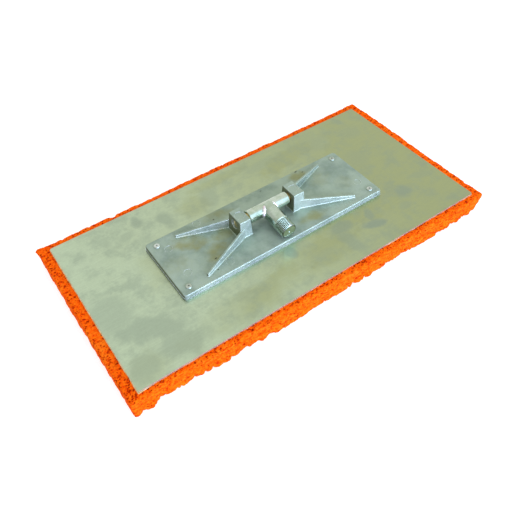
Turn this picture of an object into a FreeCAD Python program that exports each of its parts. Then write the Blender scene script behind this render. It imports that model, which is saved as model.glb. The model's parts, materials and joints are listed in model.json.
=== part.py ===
"""Grout float: a sponge pad glued to a backing sheet, with a riveted bracket and a swivelling threaded stem.

Millimetres and degrees. The origin is the centre of the pad's working face, +X runs along the float, +Y
across it and +Z up. The stem lies forward, towards -Y, with its tip just clear of the bracket's plate.
"""

import FreeCAD
import Part
import math
import os

import Sketcher
from FreeCAD import Placement, Rotation, Vector

OUT = "parts"
SMALL = 1e-3
X_AXIS = Vector(1, 0, 0)
Y_AXIS = Vector(0, 1, 0)
Z_AXIS = Vector(0, 0, 1)
SIDES = (("left", -1), ("right", 1))
ENDS = (("front", -1), ("back", 1))

# Driving dimensions: alias, value, what it is.
SIZES = (
    ("pad_overhang_x", 13.0, "sponge pad beyond each end of the sheet"),
    ("pad_overhang_y", 9.0, "sponge pad beyond each side of the sheet"),
    ("pad_height", 27.5, "sponge pad, thickness"),
    ("pad_corner", 7.0, "sponge pad, radius of its upright corners"),
    ("pad_edge", 2.0, "sponge pad, radius round its two faces"),
    ("glue_height", 0.5, "glue layer, thickness"),
    ("glue_margin", 1.5, "glue layer, set back from the sheet's edge"),
    ("sheet_length", 490.0, "backing sheet, along X"),
    ("sheet_width", 240.0, "backing sheet, along Y"),
    ("sheet_gauge", 2.0, "backing sheet, thickness"),
    ("sheet_corner", 2.0, "backing sheet, corner radius"),
    ("plate_length", 300.0, "bracket plate, along X at its foot"),
    ("plate_width", 100.0, "bracket plate, along Y at its foot"),
    ("plate_height", 7.0, "bracket plate, thickness"),
    ("plate_corner", 5.0, "bracket plate, corner radius"),
    ("plate_round", 1.3, "bracket plate, radius along its top edge"),
    ("lip_height", 2.2, "straight lip round the foot of the plate"),
    ("lip_step", 0.6, "how far the lip stands out"),
    ("draft", 3.0, "mould draft of the casting's upright walls, degrees"),
    ("lug_gap", 62.6, "between the two lugs, at the plate"),
    ("lug_thickness", 18.2, "one lug along X, at the plate"),
    ("lug_depth", 28.0, "one lug along Y, at the plate"),
    ("lug_over_axis", 10.0, "lug's top above the swivel axis"),
    ("lug_round", 1.0, "radius of a lug's edges"),
    ("rib_margin_x", 38.0, "end of a rib in from the plate's end"),
    ("rib_margin_y", 11.5, "end of a rib in from the plate's side"),
    ("rib_flank", 1.13, "where a rib's inner side meets the lug's outer face, in from the lug's corner"),
    ("rib_thickness", 3.2, "rib's thickness"),
    ("rib_root_depth", 6.0, "how far the rib's root runs on inside the lug, along X"),
    ("rib_root_height", 14.6, "rib above the plate, at its root"),
    ("rib_sink", 1.0, "how far a rib's foot runs on inside the plate"),
    ("rib_end_height", 3.6, "rib above the plate, at its end"),
    ("rib_round", 1.0, "radius along a rib's ridge"),
    ("foot_fillet", 1.4, "fillet where the lugs and ribs meet the plate"),
    ("mark_radius", 5.0, "ejector mark on the plate"),
    ("lug_mark_radius", 6.4, "ejector mark on a lug"),
    ("mark_depth", 0.25, "depth of an ejector mark"),
    ("rivet_margin_x", 12.5, "rivet in from the plate's end"),
    ("rivet_margin_y", 11.5, "rivet in from the plate's side"),
    ("rivet_shank", 4.0, "rivet body, diameter"),
    ("rivet_head", 8.0, "rivet head, diameter"),
    ("rivet_head_height", 1.3, "rivet head, height"),
    ("rivet_dome", 1.17, "radius over the edge of the rivet head"),
    ("rivet_bore", 2.2, "rivet body, bore diameter"),
    ("rivet_tail", 5.8, "set end of the rivet, diameter"),
    ("rivet_tail_length", 4.0, "set end of the rivet, length"),
    ("rivet_clearance", 0.05, "radial gap between a rivet and its hole"),
    ("mandrel_head", 3.8, "mandrel head, diameter"),
    ("mandrel_head_height", 1.5, "mandrel head, height"),
    ("mandrel_break", 0.6, "mandrel's broken end below the top of the rivet"),
    ("tail_clearance", 0.8, "gap round a rivet's set end in the pad"),
    ("pivot_height", 15.5, "swivel axis above the plate"),
    ("pin_diameter", 12.0, "pivot pin"),
    ("pin_recess", 2.2, "end of the pin below the lug's outer face, at the axis"),
    ("pin_chamfer", 1.0, "chamfer on the pin's ends"),
    ("pin_hole_chamfer", 0.5, "chamfer round the mouths of the pin's holes"),
    ("bore_clearance", 0.08, "radial running gap between the tube and the pin"),
    ("tube_diameter", 17.2, "swivel tube, outside"),
    ("tube_side_gap", 2.6, "gap between the tube and each lug, at the axis"),
    ("tube_chamfer", 0.6, "chamfer on the tube's ends"),
    ("shank_diameter", 21.3, "stem, plain part"),
    ("thread_diameter", 20.955, "stem, over the thread"),
    ("thread_length", 17.0, "stem, threaded part with its chamfer"),
    ("thread_runout", 0.8, "cone from the plain part down to the thread"),
    ("stem_length", 46.5, "swivel axis to the stem's end"),
    ("stem_ear", 0.8, "how far the stem's coped end passes the swivel axis"),
    ("stem_chamfer", 1.6, "chamfer on the stem's end"),
    ("centre_mark", 2.4, "diameter of the centre mark in the stem's end"),
    ("weld_leg", 1.5, "leg of the weld fillet"),
    ("stem_rest_gap", 0.69, "lowest point of the lying stem above the plate"),
)

# The ejector marks on the plate: which corner each is near, and how far in from the plate's end and side.
PLATE_MARKS = (
    (-1, 1, 22.0, 24.0),
    (-1, -1, 22.0, 30.0),
    (-1, -1, 71.0, 15.0),
    (-1, 1, 71.0, 7.0),
    (1, -1, 16.0, 31.0),
)

HALF_SHEET_X, HALF_SHEET_Y = "Sizes.sheet_length / 2", "Sizes.sheet_width / 2"
HALF_PLATE_X, HALF_PLATE_Y = "Sizes.plate_length / 2", "Sizes.plate_width / 2"
GLUE_FOOT = "Sizes.pad_height"
SHEET_FOOT = GLUE_FOOT + " + Sizes.glue_height"
PLATE_FOOT = SHEET_FOOT + " + Sizes.sheet_gauge"
PLATE_TOP = PLATE_FOOT + " + Sizes.plate_height"
PIVOT = PLATE_TOP + " + Sizes.pivot_height"
RIVET_HOLE = "Sizes.rivet_shank / 2 + Sizes.rivet_clearance"
RIVET_GRIP = "Sizes.plate_height + Sizes.sheet_gauge"
RIVET_REACH = RIVET_GRIP + " + Sizes.rivet_tail_length"
TAIL_ROOM = "Sizes.rivet_tail / 2 + Sizes.tail_clearance"
DRAFT_PER_MM = "tan(Sizes.draft * 1 deg)"
LUG_CENTRE = "(Sizes.lug_gap + Sizes.lug_thickness) / 2"
LUG_OUTER = "Sizes.lug_gap / 2 + Sizes.lug_thickness"
LUG_HEIGHT = "(Sizes.pivot_height + Sizes.lug_over_axis)"
AXIS_SHIFT = "Sizes.pivot_height * " + DRAFT_PER_MM
RIB_END_X = f"({HALF_PLATE_X} - Sizes.rib_margin_x)"
RIB_END_Y = f"({HALF_PLATE_Y} - Sizes.rib_margin_y)"
RIB_MEETS_Y = "Sizes.lug_depth / 2"
RIB_ANGLE = f"atan2({RIB_END_Y} - {RIB_MEETS_Y}; {RIB_END_X} - ({LUG_OUTER}))"
RIB_INSET = f"(Sizes.rib_thickness / 2 - Sizes.rib_flank * cos({RIB_ANGLE})) / sin({RIB_ANGLE})"
RIB_MEETS_X = f"({LUG_OUTER} - {RIB_INSET})"
RIB_SLOPE = f"({RIB_END_Y} - {RIB_MEETS_Y}) / ({RIB_END_X} - {RIB_MEETS_X})"
# The stem's lowest point is where its thread meets its end chamfer. It droops until that is at the gap.
CORNER_OUT = "(Sizes.stem_length - Sizes.stem_chamfer)"
CORNER_DOWN = "(Sizes.thread_diameter / 2)"
CORNER_SINE = f"(Sizes.pivot_height - Sizes.stem_rest_gap) / sqrt({CORNER_OUT}^2 + {CORNER_DOWN}^2)"
STEM_DROOP = f"asin({CORNER_SINE}) - atan2({CORNER_DOWN}; {CORNER_OUT})"

doc = FreeCAD.newDocument("GroutFloat")


def make_sizes():
    """Fill the spreadsheet: on each row a name, a plain number with that name as its alias, and a note."""
    sheet = doc.addObject("Spreadsheet::Sheet", "Sizes")
    for row, (alias, value, note) in enumerate(SIZES, start=1):
        sheet.set(f"A{row}", alias)
        sheet.set(f"B{row}", str(value))
        sheet.set(f"C{row}", note)
        sheet.setAlias(f"B{row}", alias)
    doc.recompute()
    return sheet


sizes = make_sizes()


def value_of(expression):
    """The number that an expression of the driving dimensions has now."""
    return float(sizes.evalExpression(expression.replace("Sizes.", "")))


def negative(expression):
    """The same length on the other side of the axis."""
    return f"-({expression})"


def signed(sign, expression):
    """The expression itself, or its mirror image where sign is below zero."""
    return expression if sign > 0 else negative(expression)


# ---------------------------------------------------------------- sketches, bodies and features


def new_body(label, height=None):
    """A PartDesign body, lifted to a height given as an expression."""
    body = doc.addObject("PartDesign::Body", label)
    body.Label = label
    if height:
        body.setExpression("Placement.Base.z", height)
    return body


def new_sketch(body, name, role="XY_Plane", lift=None):
    """A sketch on one of the body's own origin planes, optionally lifted along the plane's normal."""
    sketch = body.newObject("Sketcher::SketchObject", name)
    plane = next(item for item in body.Origin.OriginFeatures if item.Role == role)
    sketch.AttachmentSupport = (plane, [""])
    sketch.MapMode = "FlatFace"
    if lift:
        sketch.setExpression("AttachmentOffset.Base.z", lift)
    return sketch


def bind(sketch, constraint, expression):
    """Add one dimensional constraint and bind it to an expression."""
    index = sketch.addConstraint(constraint)
    sketch.setExpression(f"Constraints[{index}]", expression)


def pin_point(sketch, geo, pos, x, y):
    """Hold a sketch point at a place whose two coordinates are expressions."""
    for axis, kind, place in ((-2, "DistanceX", x), (-1, "DistanceY", y)):
        now = value_of(place)
        if now > 0:
            bind(sketch, Sketcher.Constraint(kind, -1, 1, geo, pos, now), place)
        elif now < 0:
            bind(sketch, Sketcher.Constraint(kind, geo, pos, -1, 1, -now), negative(place))
        else:
            sketch.addConstraint(Sketcher.Constraint("PointOnObject", geo, pos, axis))


def draw_polygon(sketch, points):
    """A closed outline of straight edges, with every corner held by expressions."""
    corners = [Vector(value_of(x), value_of(y), 0) for x, y in points]
    count = len(corners)
    first = sketch.GeometryCount
    for i in range(count):
        sketch.addGeometry(Part.LineSegment(corners[i], corners[(i + 1) % count]), False)
    for i in range(count):
        sketch.addConstraint(Sketcher.Constraint("Coincident", first + i, 2, first + (i + 1) % count, 1))
    for i, (x, y) in enumerate(points):
        pin_point(sketch, first + i, 1, x, y)


def draw_rectangle(sketch, half_x, half_y, centre_x="0"):
    """A rectangle centred on the sketch's X axis, from expressions for its half sizes and its centre."""
    low_x, high_x = f"{centre_x} - ({half_x})", f"{centre_x} + ({half_x})"
    low_y = negative(half_y)
    draw_polygon(sketch, ((low_x, low_y), (high_x, low_y), (high_x, half_y), (low_x, half_y)))


def draw_rounded_rectangle(sketch, half_x, half_y, radius):
    """A rectangle centred on the origin with a tangent arc at each corner, from expressions."""
    hx, hy, r = value_of(half_x), value_of(half_y), value_of(radius)
    quarter = math.pi / 2
    for i, (x_sign, y_sign) in enumerate(((1, -1), (1, 1), (-1, 1), (-1, -1))):
        centre = Vector(x_sign * (hx - r), y_sign * (hy - r), 0)
        before = (i - 1) * quarter
        out = Vector(math.cos(before), math.sin(before), 0)
        along = Vector(-out.y, out.x, 0)
        length = 2 * ((hx if i % 2 == 0 else hy) - r)
        start = centre + out * r
        sketch.addGeometry(Part.LineSegment(start - along * length, start), False)
        circle = Part.Circle(centre, Z_AXIS, r)
        sketch.addGeometry(Part.ArcOfCircle(circle, before, before + quarter), False)
    for i in range(8):
        sketch.addConstraint(Sketcher.Constraint("Tangent", i, 2, (i + 1) % 8, 1))
    for i, kind in ((0, "Horizontal"), (2, "Vertical"), (4, "Horizontal"), (6, "Vertical")):
        sketch.addConstraint(Sketcher.Constraint(kind, i))
    for i in (3, 5, 7):
        sketch.addConstraint(Sketcher.Constraint("Equal", 1, i))
    bind(sketch, Sketcher.Constraint("Radius", 1, r), radius)
    bind(sketch, Sketcher.Constraint("DistanceX", -1, 1, 2, 1, hx), half_x)
    bind(sketch, Sketcher.Constraint("DistanceY", -1, 1, 4, 1, hy), half_y)
    bind(sketch, Sketcher.Constraint("DistanceX", 6, 1, -1, 1, hx), half_x)
    bind(sketch, Sketcher.Constraint("DistanceY", 0, 1, -1, 1, hy), half_y)


def draw_circle(sketch, x, y, radius):
    """A circle with its centre and its radius held by expressions."""
    centre = Vector(value_of(x), value_of(y), 0)
    geo = sketch.addGeometry(Part.Circle(centre, Z_AXIS, value_of(radius)), False)
    pin_point(sketch, geo, 3, x, y)
    bind(sketch, Sketcher.Constraint("Radius", geo, value_of(radius)), radius)


def new_feature(body, kind, name, profile, settings, bound):
    """A feature on a profile, with plain settings and with sizes bound to expressions."""
    feature = body.newObject("PartDesign::" + kind, name)
    feature.Profile = profile
    for key, value in settings.items():
        setattr(feature, key, value)
    for key, expression in bound.items():
        feature.setExpression(key, expression)
    doc.recompute()
    return feature


def new_pad(body, name, profile, length, **bound):
    """A pad along its sketch's normal."""
    return new_feature(body, "Pad", name, profile, {}, {"Length": length, **bound})


def new_shaft(body, name, profile, length):
    """A pad half to each side of its sketch."""
    return new_feature(body, "Pad", name, profile, {"Midplane": True}, {"Length": length})


def new_pocket(body, name, profile, depth=None):
    """A pocket against its sketch's normal, or right through both ways; it has to take material away."""
    before = body.Tip.Shape.Volume
    if depth:
        feature = new_feature(body, "Pocket", name, profile, {}, {"Length": depth})
    else:
        feature = new_feature(body, "Pocket", name, profile, {"Type": "ThroughAll", "Midplane": True}, {})
    if feature.Shape.Volume > before - SMALL:
        raise RuntimeError(f"{name} cuts nothing")
    return feature


def new_revolution(body, name, profile, axis="V_Axis"):
    """A full turn of a sketch about one of its own axes."""
    settings = {"ReferenceAxis": (profile, [axis]), "Angle": 360.0}
    return new_feature(body, "Revolution", name, profile, settings, {})


def dress_edges(body, kind, name, test, amount):
    """A fillet or chamfer on those edges of the body's last feature that pass a test."""
    tip = body.Tip
    edges = [f"Edge{i}" for i, edge in enumerate(tip.Shape.Edges, start=1) if test(edge)]
    if not edges:
        raise RuntimeError(f"{name} finds no edge")
    feature = body.newObject("PartDesign::" + kind, name)
    feature.Base = (tip, edges)
    feature.setExpression("Radius" if kind == "Fillet" else "Size", amount)
    doc.recompute()
    if not feature.isValid():
        raise RuntimeError(f"{name} failed on {len(edges)} edges")
    return feature


def is_upright(edge):
    """A straight edge along Z."""
    box = edge.BoundBox
    return max(box.XLength, box.YLength) < SMALL < box.ZLength


def lies_at(*heights):
    """A test for an edge that is level at one of the heights."""
    def test(edge):
        box = edge.BoundBox
        return box.ZLength < SMALL and any(abs(box.ZMin - z) < SMALL for z in heights)
    return test


def stands_at(*places):
    """A test for an edge that is flat in X at one of the places."""
    def test(edge):
        box = edge.BoundBox
        return box.XLength < SMALL and any(abs(box.XMin - x) < SMALL for x in places)
    return test


def rivet_places():
    """The name of each rivet's corner, and expressions for its place."""
    for end, y_sign in ENDS:
        for side, x_sign in SIDES:
            x = signed(x_sign, HALF_PLATE_X + " - Sizes.rivet_margin_x")
            y = signed(y_sign, HALF_PLATE_Y + " - Sizes.rivet_margin_y")
            yield f"{end}_{side}", x, y


def drill_at_rivets(body, name, radius, depth=None, lift=None):
    """One hole at each rivet: right through, or blind from the height of lift."""
    sketch = new_sketch(body, name + "_sketch", lift=lift)
    for _, x, y in rivet_places():
        draw_circle(sketch, x, y, radius)
    return new_pocket(body, name, sketch, depth)


# ---------------------------------------------------------------- pad, glue and sheet


def make_sponge_pad():
    """The pad: a rounded slab with a blind pocket over each rivet's set end."""
    body = new_body("sponge_pad")
    sketch = new_sketch(body, "pad_outline")
    draw_rectangle(sketch, HALF_SHEET_X + " + Sizes.pad_overhang_x", HALF_SHEET_Y + " + Sizes.pad_overhang_y")
    new_pad(body, "pad_slab", sketch, "Sizes.pad_height")
    dress_edges(body, "Fillet", "pad_corners", is_upright, "Sizes.pad_corner")
    faces = lies_at(0.0, value_of("Sizes.pad_height"))
    dress_edges(body, "Fillet", "pad_edges", faces, "Sizes.pad_edge")
    depth = "Sizes.rivet_tail_length + Sizes.mandrel_head_height - Sizes.glue_height + Sizes.tail_clearance"
    drill_at_rivets(body, "tail_pockets", TAIL_ROOM, depth, lift="Sizes.pad_height")


def make_glue_layer():
    """The glue between pad and sheet, open round the rivets' set ends."""
    body = new_body("glue_layer", GLUE_FOOT)
    sketch = new_sketch(body, "glue_outline")
    draw_rectangle(sketch, HALF_SHEET_X + " - Sizes.glue_margin", HALF_SHEET_Y + " - Sizes.glue_margin")
    new_pad(body, "glue_film", sketch, "Sizes.glue_height")
    drill_at_rivets(body, "tail_holes", TAIL_ROOM)


def make_backing_sheet():
    """The sheet that stiffens the pad, drilled for the rivets."""
    body = new_body("backing_sheet", SHEET_FOOT)
    sketch = new_sketch(body, "sheet_outline")
    draw_rectangle(sketch, HALF_SHEET_X, HALF_SHEET_Y)
    new_pad(body, "sheet_blank", sketch, "Sizes.sheet_gauge")
    dress_edges(body, "Fillet", "sheet_corners", is_upright, "Sizes.sheet_corner")
    drill_at_rivets(body, "sheet_holes", RIVET_HOLE)


# ---------------------------------------------------------------- cast bracket


def make_plate(body):
    """The bracket's plate: a straight lip at the foot and a drafted wall above it, rounded along the top."""
    lip = new_sketch(body, "lip_outline")
    draw_rounded_rectangle(lip, HALF_PLATE_X, HALF_PLATE_Y, "Sizes.plate_corner")
    new_pad(body, "plate_lip", lip, "Sizes.lip_height")
    wall = new_sketch(body, "wall_outline")
    half_x, half_y = (f"{half} - Sizes.lip_step" for half in (HALF_PLATE_X, HALF_PLATE_Y))
    draw_rounded_rectangle(wall, half_x, half_y, "Sizes.plate_corner - Sizes.lip_step")
    new_pad(body, "plate_wall", wall, "Sizes.plate_height", TaperAngle=negative("Sizes.draft"))
    plate_top = value_of("Sizes.plate_height")
    dress_edges(body, "Fillet", "plate_rim", lies_at(plate_top), "Sizes.plate_round")


def make_lugs(body):
    """The two lugs that hold the pin: drafted blocks with rounded upright and top edges."""
    foot = value_of("Sizes.plate_height")
    top = value_of("Sizes.plate_height + " + LUG_HEIGHT)
    for side, sign in SIDES:
        sketch = new_sketch(body, f"lug_{side}_outline", lift="Sizes.plate_height")
        half_x, half_y = "Sizes.lug_thickness / 2", "Sizes.lug_depth / 2"
        draw_rectangle(sketch, half_x, half_y, signed(sign, LUG_CENTRE))
        new_pad(body, f"lug_{side}", sketch, LUG_HEIGHT, TaperAngle=negative("Sizes.draft"))

    def is_lug_edge(edge):
        box = edge.BoundBox
        return box.ZMin > foot - SMALL and abs(box.ZMax - top) < SMALL

    dress_edges(body, "Fillet", "lug_edges", is_lug_edge, "Sizes.lug_round")


def make_ribs(body):
    """Four ribs from the lugs' corners towards the plate's corners, lower and lower to their ends."""
    root_x = f"({RIB_MEETS_X} - Sizes.rib_root_depth)"
    root_y = f"({RIB_MEETS_Y} - Sizes.rib_root_depth * {RIB_SLOPE})"
    for end, y_sign in ENDS:
        for side, x_sign in SIDES:
            name = f"rib_{end}_{side}"
            run_x, run_y = f"({RIB_END_X} - {root_x})", f"({RIB_END_Y} - {root_y})"
            run = f"sqrt({run_x}^2 + {run_y}^2)"
            outline = new_sketch(body, name + "_outline", "XZ_Plane")
            outline.AttachmentOffset = Placement(Vector(0, 0, 0), Rotation(Y_AXIS, 1))
            outline.setExpression("AttachmentOffset.Base.x", signed(x_sign, root_x))
            outline.setExpression("AttachmentOffset.Base.y", "Sizes.plate_height")
            outline.setExpression("AttachmentOffset.Base.z", signed(-y_sign, root_y))
            turn = f"atan2({signed(y_sign, run_y)}; {signed(x_sign, run_x)})"
            outline.setExpression("AttachmentOffset.Rotation.Angle", turn)
            low = negative("Sizes.rib_sink")
            draw_polygon(outline, (
                ("0", low), (run, low), (run, "Sizes.rib_end_height"), ("0", "Sizes.rib_root_height"),
            ))
            new_shaft(body, name, outline, "Sizes.rib_thickness")
    reach = value_of(RIB_END_X + " - Sizes.rib_thickness")
    plate_top = value_of("Sizes.plate_height")

    def is_ridge(edge):
        box = edge.BoundBox
        stands = box.ZMin > plate_top - SMALL and box.ZMax > plate_top + SMALL
        return stands and max(-box.XMin, box.XMax) > reach

    dress_edges(body, "Fillet", "rib_ridges", is_ridge, "Sizes.rib_round")


def fillet_feet(body):
    """The cast fillet all round the lugs and ribs, where they meet the plate."""
    plate_top = value_of("Sizes.plate_height")
    inside_x = value_of(RIB_END_X + " + Sizes.rib_thickness")
    level = lies_at(plate_top)

    def is_foot(edge):
        box = edge.BoundBox
        return level(edge) and max(-box.XMin, box.XMax) < inside_x

    dress_edges(body, "Fillet", "foot_fillets", is_foot, "Sizes.foot_fillet")


def bore_lugs(body):
    """One hole for the pin through both lugs, chamfered at its four mouths."""
    sketch = new_sketch(body, "pin_hole_outline", "YZ_Plane")
    draw_circle(sketch, "0", "Sizes.plate_height + Sizes.pivot_height", "Sizes.pin_diameter / 2")
    new_pocket(body, "pin_holes", sketch)
    radius = value_of("Sizes.pin_diameter / 2")
    axis_z = value_of("Sizes.plate_height + Sizes.pivot_height")

    def is_mouth(edge):
        if edge.Length < radius:
            return False
        points = edge.discretize(5)
        on_wall = all(abs(math.hypot(p.y, p.z - axis_z) - radius) < SMALL for p in points)
        return on_wall and edge.BoundBox.XLength < radius

    dress_edges(body, "Chamfer", "pin_hole_mouths", is_mouth, "Sizes.pin_hole_chamfer")


def press_marks(body):
    """The shallow round marks that the mould's ejector pins leave on the plate and on the lugs."""
    on_plate = new_sketch(body, "plate_mark_outlines", lift="Sizes.plate_height")
    for x_sign, y_sign, from_end, from_side in PLATE_MARKS:
        x = signed(x_sign, f"{HALF_PLATE_X} - {from_end}")
        y = signed(y_sign, f"{HALF_PLATE_Y} - {from_side}")
        draw_circle(on_plate, x, y, "Sizes.mark_radius")
    new_pocket(body, "plate_marks", on_plate, "Sizes.mark_depth")
    on_lugs = new_sketch(body, "lug_mark_outlines", lift="Sizes.plate_height + " + LUG_HEIGHT)
    for _, sign in SIDES:
        draw_circle(on_lugs, signed(sign, LUG_CENTRE), "0", "Sizes.lug_mark_radius")
    new_pocket(body, "lug_marks", on_lugs, "Sizes.mark_depth")


def make_bracket():
    """The casting: plate, two lugs and four ribs in one piece."""
    body = new_body("bracket", PLATE_FOOT)
    make_plate(body)
    make_lugs(body)
    make_ribs(body)
    fillet_feet(body)
    bore_lugs(body)
    press_marks(body)
    drill_at_rivets(body, "rivet_holes", RIVET_HOLE)


# ---------------------------------------------------------------- rivets


def make_rivet_body(corner):
    """The hollow body of a blind rivet: a domed head on the plate, a shank, and a set end under the sheet."""
    body = new_body(f"rivet_body_{corner}", PLATE_TOP)
    bore, shank, head, tail = (f"Sizes.rivet_{part} / 2" for part in ("bore", "shank", "head", "tail"))
    grip, tail_end, top = negative(RIVET_GRIP), negative(RIVET_REACH), "Sizes.rivet_head_height"
    profile = new_sketch(body, "rivet_profile", "XZ_Plane")
    draw_polygon(profile, (
        (bore, top), (head, top), (head, "0"), (shank, "0"), (shank, grip), (tail, grip), (tail, tail_end),
        (bore, tail_end),
    ))
    new_revolution(body, "rivet_turned", profile)
    crown = value_of(top)
    radius = value_of(head)

    def is_crown(edge):
        return lies_at(crown)(edge) and abs(edge.BoundBox.XMax - radius) < SMALL

    dress_edges(body, "Fillet", "rivet_crown", is_crown, "Sizes.rivet_dome")
    return body


def make_rivet_mandrel(corner):
    """The mandrel left in a blind rivet: broken below the head's top, its own head past the set end."""
    body = new_body(f"rivet_mandrel_{corner}", PLATE_TOP)
    broken = "Sizes.rivet_head_height - Sizes.mandrel_break"
    shoulder, end = negative(RIVET_REACH), negative(RIVET_REACH + " + Sizes.mandrel_head_height")
    thin, wide = "Sizes.rivet_bore / 2", "Sizes.mandrel_head / 2"
    profile = new_sketch(body, "mandrel_profile", "XZ_Plane")
    draw_polygon(profile, (
        ("0", broken), (thin, broken), (thin, shoulder), (wide, shoulder), (wide, end), ("0", end),
    ))
    new_revolution(body, "mandrel_turned", profile)
    return body


def make_rivets():
    """The four blind rivets, each a body and a mandrel, standing on the plate's top."""
    for corner, x, y in rivet_places():
        for item in (make_rivet_body(corner), make_rivet_mandrel(corner)):
            item.setExpression("Placement.Base.x", x)
            item.setExpression("Placement.Base.y", y)


# ---------------------------------------------------------------- pin, tube and stem


def make_pivot_pin():
    """The pin, pressed into both lugs, with its chamfered ends below their outer faces."""
    body = new_body("pivot_pin", PIVOT)
    sketch = new_sketch(body, "pin_outline", "YZ_Plane")
    draw_circle(sketch, "0", "0", "Sizes.pin_diameter / 2")
    half = f"({LUG_OUTER} - {AXIS_SHIFT} - Sizes.pin_recess)"
    new_shaft(body, "pin_bar", sketch, "2 * " + half)
    ends = stands_at(value_of(half), -value_of(half))
    dress_edges(body, "Chamfer", "pin_ends", ends, "Sizes.pin_chamfer")


def make_swivel_tube():
    """The tube that turns on the pin, between the lugs."""
    body = new_body("swivel_tube", PIVOT)
    sketch = new_sketch(body, "tube_outline", "YZ_Plane")
    draw_circle(sketch, "0", "0", "Sizes.tube_diameter / 2")
    draw_circle(sketch, "0", "0", "Sizes.pin_diameter / 2 + Sizes.bore_clearance")
    half = f"(Sizes.lug_gap / 2 + {AXIS_SHIFT} - Sizes.tube_side_gap)"
    new_shaft(body, "tube_length", sketch, "2 * " + half)
    end, radius = value_of(half), value_of("Sizes.tube_diameter / 2")

    def is_outer_end(edge):
        return stands_at(end, -end)(edge) and abs(edge.BoundBox.ZMax - radius) < SMALL

    dress_edges(body, "Chamfer", "tube_ends", is_outer_end, "Sizes.tube_chamfer")


def turn_down(item):
    """Set a piece of the stem, drawn level along -Y, on the swivel axis and let it droop."""
    item.Placement = Placement(Vector(0, 0, 0), Rotation(X_AXIS, 1))
    item.setExpression("Placement.Base.z", PIVOT)
    item.setExpression("Placement.Rotation.Angle", STEM_DROOP)


def make_threaded_stem():
    """The stem: turned bar with a thread at its end, and a root coped to sit over the tube."""
    body = new_body("threaded_stem")
    shank, thread, mark = "Sizes.shank_diameter / 2", "Sizes.thread_diameter / 2", "Sizes.centre_mark / 2"
    chamfer = "Sizes.stem_chamfer"
    end = "-Sizes.stem_length"
    start = "-Sizes.stem_length + Sizes.thread_length"
    profile = new_sketch(body, "stem_profile")
    draw_polygon(profile, (
        ("0", "Sizes.stem_ear"),
        (shank, "Sizes.stem_ear"),
        (shank, start + " + Sizes.thread_runout"),
        (thread, start),
        (thread, f"{end} + {chamfer}"),
        (f"{thread} - {chamfer}", end),
        (mark, end),
        ("0", f"{end} + {mark}"),
    ))
    new_revolution(body, "stem_turned", profile)
    saddle = new_sketch(body, "saddle_outline", "YZ_Plane")
    draw_circle(saddle, "0", "0", "Sizes.tube_diameter / 2")
    new_pocket(body, "stem_saddle", saddle)
    turn_down(body)


def make_tool(kind, name, along, **bound):
    """A Part primitive with its own Z axis laid along another axis, and its sizes bound to expressions."""
    tool = doc.addObject("Part::" + kind, name)
    tool.Placement = Placement(Vector(0, 0, 0), Rotation(Z_AXIS, along))
    for key, expression in bound.items():
        tool.setExpression(key, expression)
    return tool


def make_ring(name, along, inner, outer, length, start_x="0"):
    """A round sleeve laid along an axis from a point on the swivel axis."""
    tools = []
    for label, radius in (("outer", outer), ("inner", inner)):
        tool = make_tool("Cylinder", f"{name}_{label}", along, Radius=radius, Height=length)
        tool.setExpression("Placement.Base.x", start_x)
        tools.append(tool)
    ring = doc.addObject("Part::Cut", name)
    ring.Base, ring.Tool = tools
    return ring


def make_welds():
    """The weld on each side of the stem, filling the corner between the tube's and the stem's surfaces."""
    tube, shank, leg = "Sizes.tube_diameter / 2", "Sizes.shank_diameter / 2", "Sizes.weld_leg"
    reach = f"({shank} + {leg})"
    for side, sign in SIDES:
        name = f"weld_{side}"
        start_x = "0" if sign > 0 else negative(reach)
        on_tube = make_ring(name + "_on_tube", X_AXIS, tube, f"{tube} + {leg}", reach, start_x)
        on_stem = make_ring(name + "_on_stem", -Y_AXIS, shank, reach, reach)
        weld = doc.addObject("Part::Common", name)
        weld.Label = name
        weld.Base, weld.Tool = on_tube, on_stem
        doc.recompute()
        turn_down(weld)


# ---------------------------------------------------------------- the whole float


def check_objects():
    """Stop unless every object in the document has recomputed cleanly."""
    bad = [item.Name for item in doc.Objects if {"Invalid", "Error"} & set(item.State)]
    if bad:
        raise RuntimeError("failed objects: " + ", ".join(bad))


def write_parts():
    """Check each sub-part's shape, then write them all."""
    bodies = [item for item in doc.Objects if item.TypeId == "PartDesign::Body"]
    parts = bodies + [doc.getObject(f"weld_{side}") for side, _ in SIDES]
    for part in parts:
        if part.Shape.isNull() or not part.Shape.isValid() or not part.Shape.Solids:
            raise RuntimeError(f"{part.Label} has no valid solid")
    os.makedirs(OUT, exist_ok=True)
    for part in parts:
        box = part.Shape.optimalBoundingBox()
        print(f"{part.Label:28s} {part.Shape.Volume:12.1f} mm3  {len(part.Shape.Solids)} solid"
              f"  {box.XLength:7.2f} {box.YLength:7.2f} {box.ZLength:7.2f}")
        part.Shape.exportStep(os.path.join(OUT, part.Label + ".step"))


def main():
    """Build the float from the working face upwards and write its parts."""
    make_sponge_pad()
    make_glue_layer()
    make_backing_sheet()
    make_bracket()
    make_rivets()
    make_pivot_pin()
    make_swivel_tube()
    make_threaded_stem()
    make_welds()
    doc.recompute()
    check_objects()
    write_parts()


main()
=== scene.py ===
"""Grout float, finished for its portrait.

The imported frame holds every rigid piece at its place. This script adds what the frame keeps plain: the torn
sponge pad, the glue squeezed out along the sheet, the cut thread and the weld beads. Then it gives each piece
its finish and sets up a pale studio.

Lengths in the code are metres. Sizes that a maker would say in millimetres are written as a number times MM.
"""
import json
import logging
import math
from collections.abc import Callable, Iterable
from dataclasses import dataclass, field
from enum import Enum

import bmesh
import bpy
import numpy as np
from mathutils import Matrix, Vector


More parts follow.
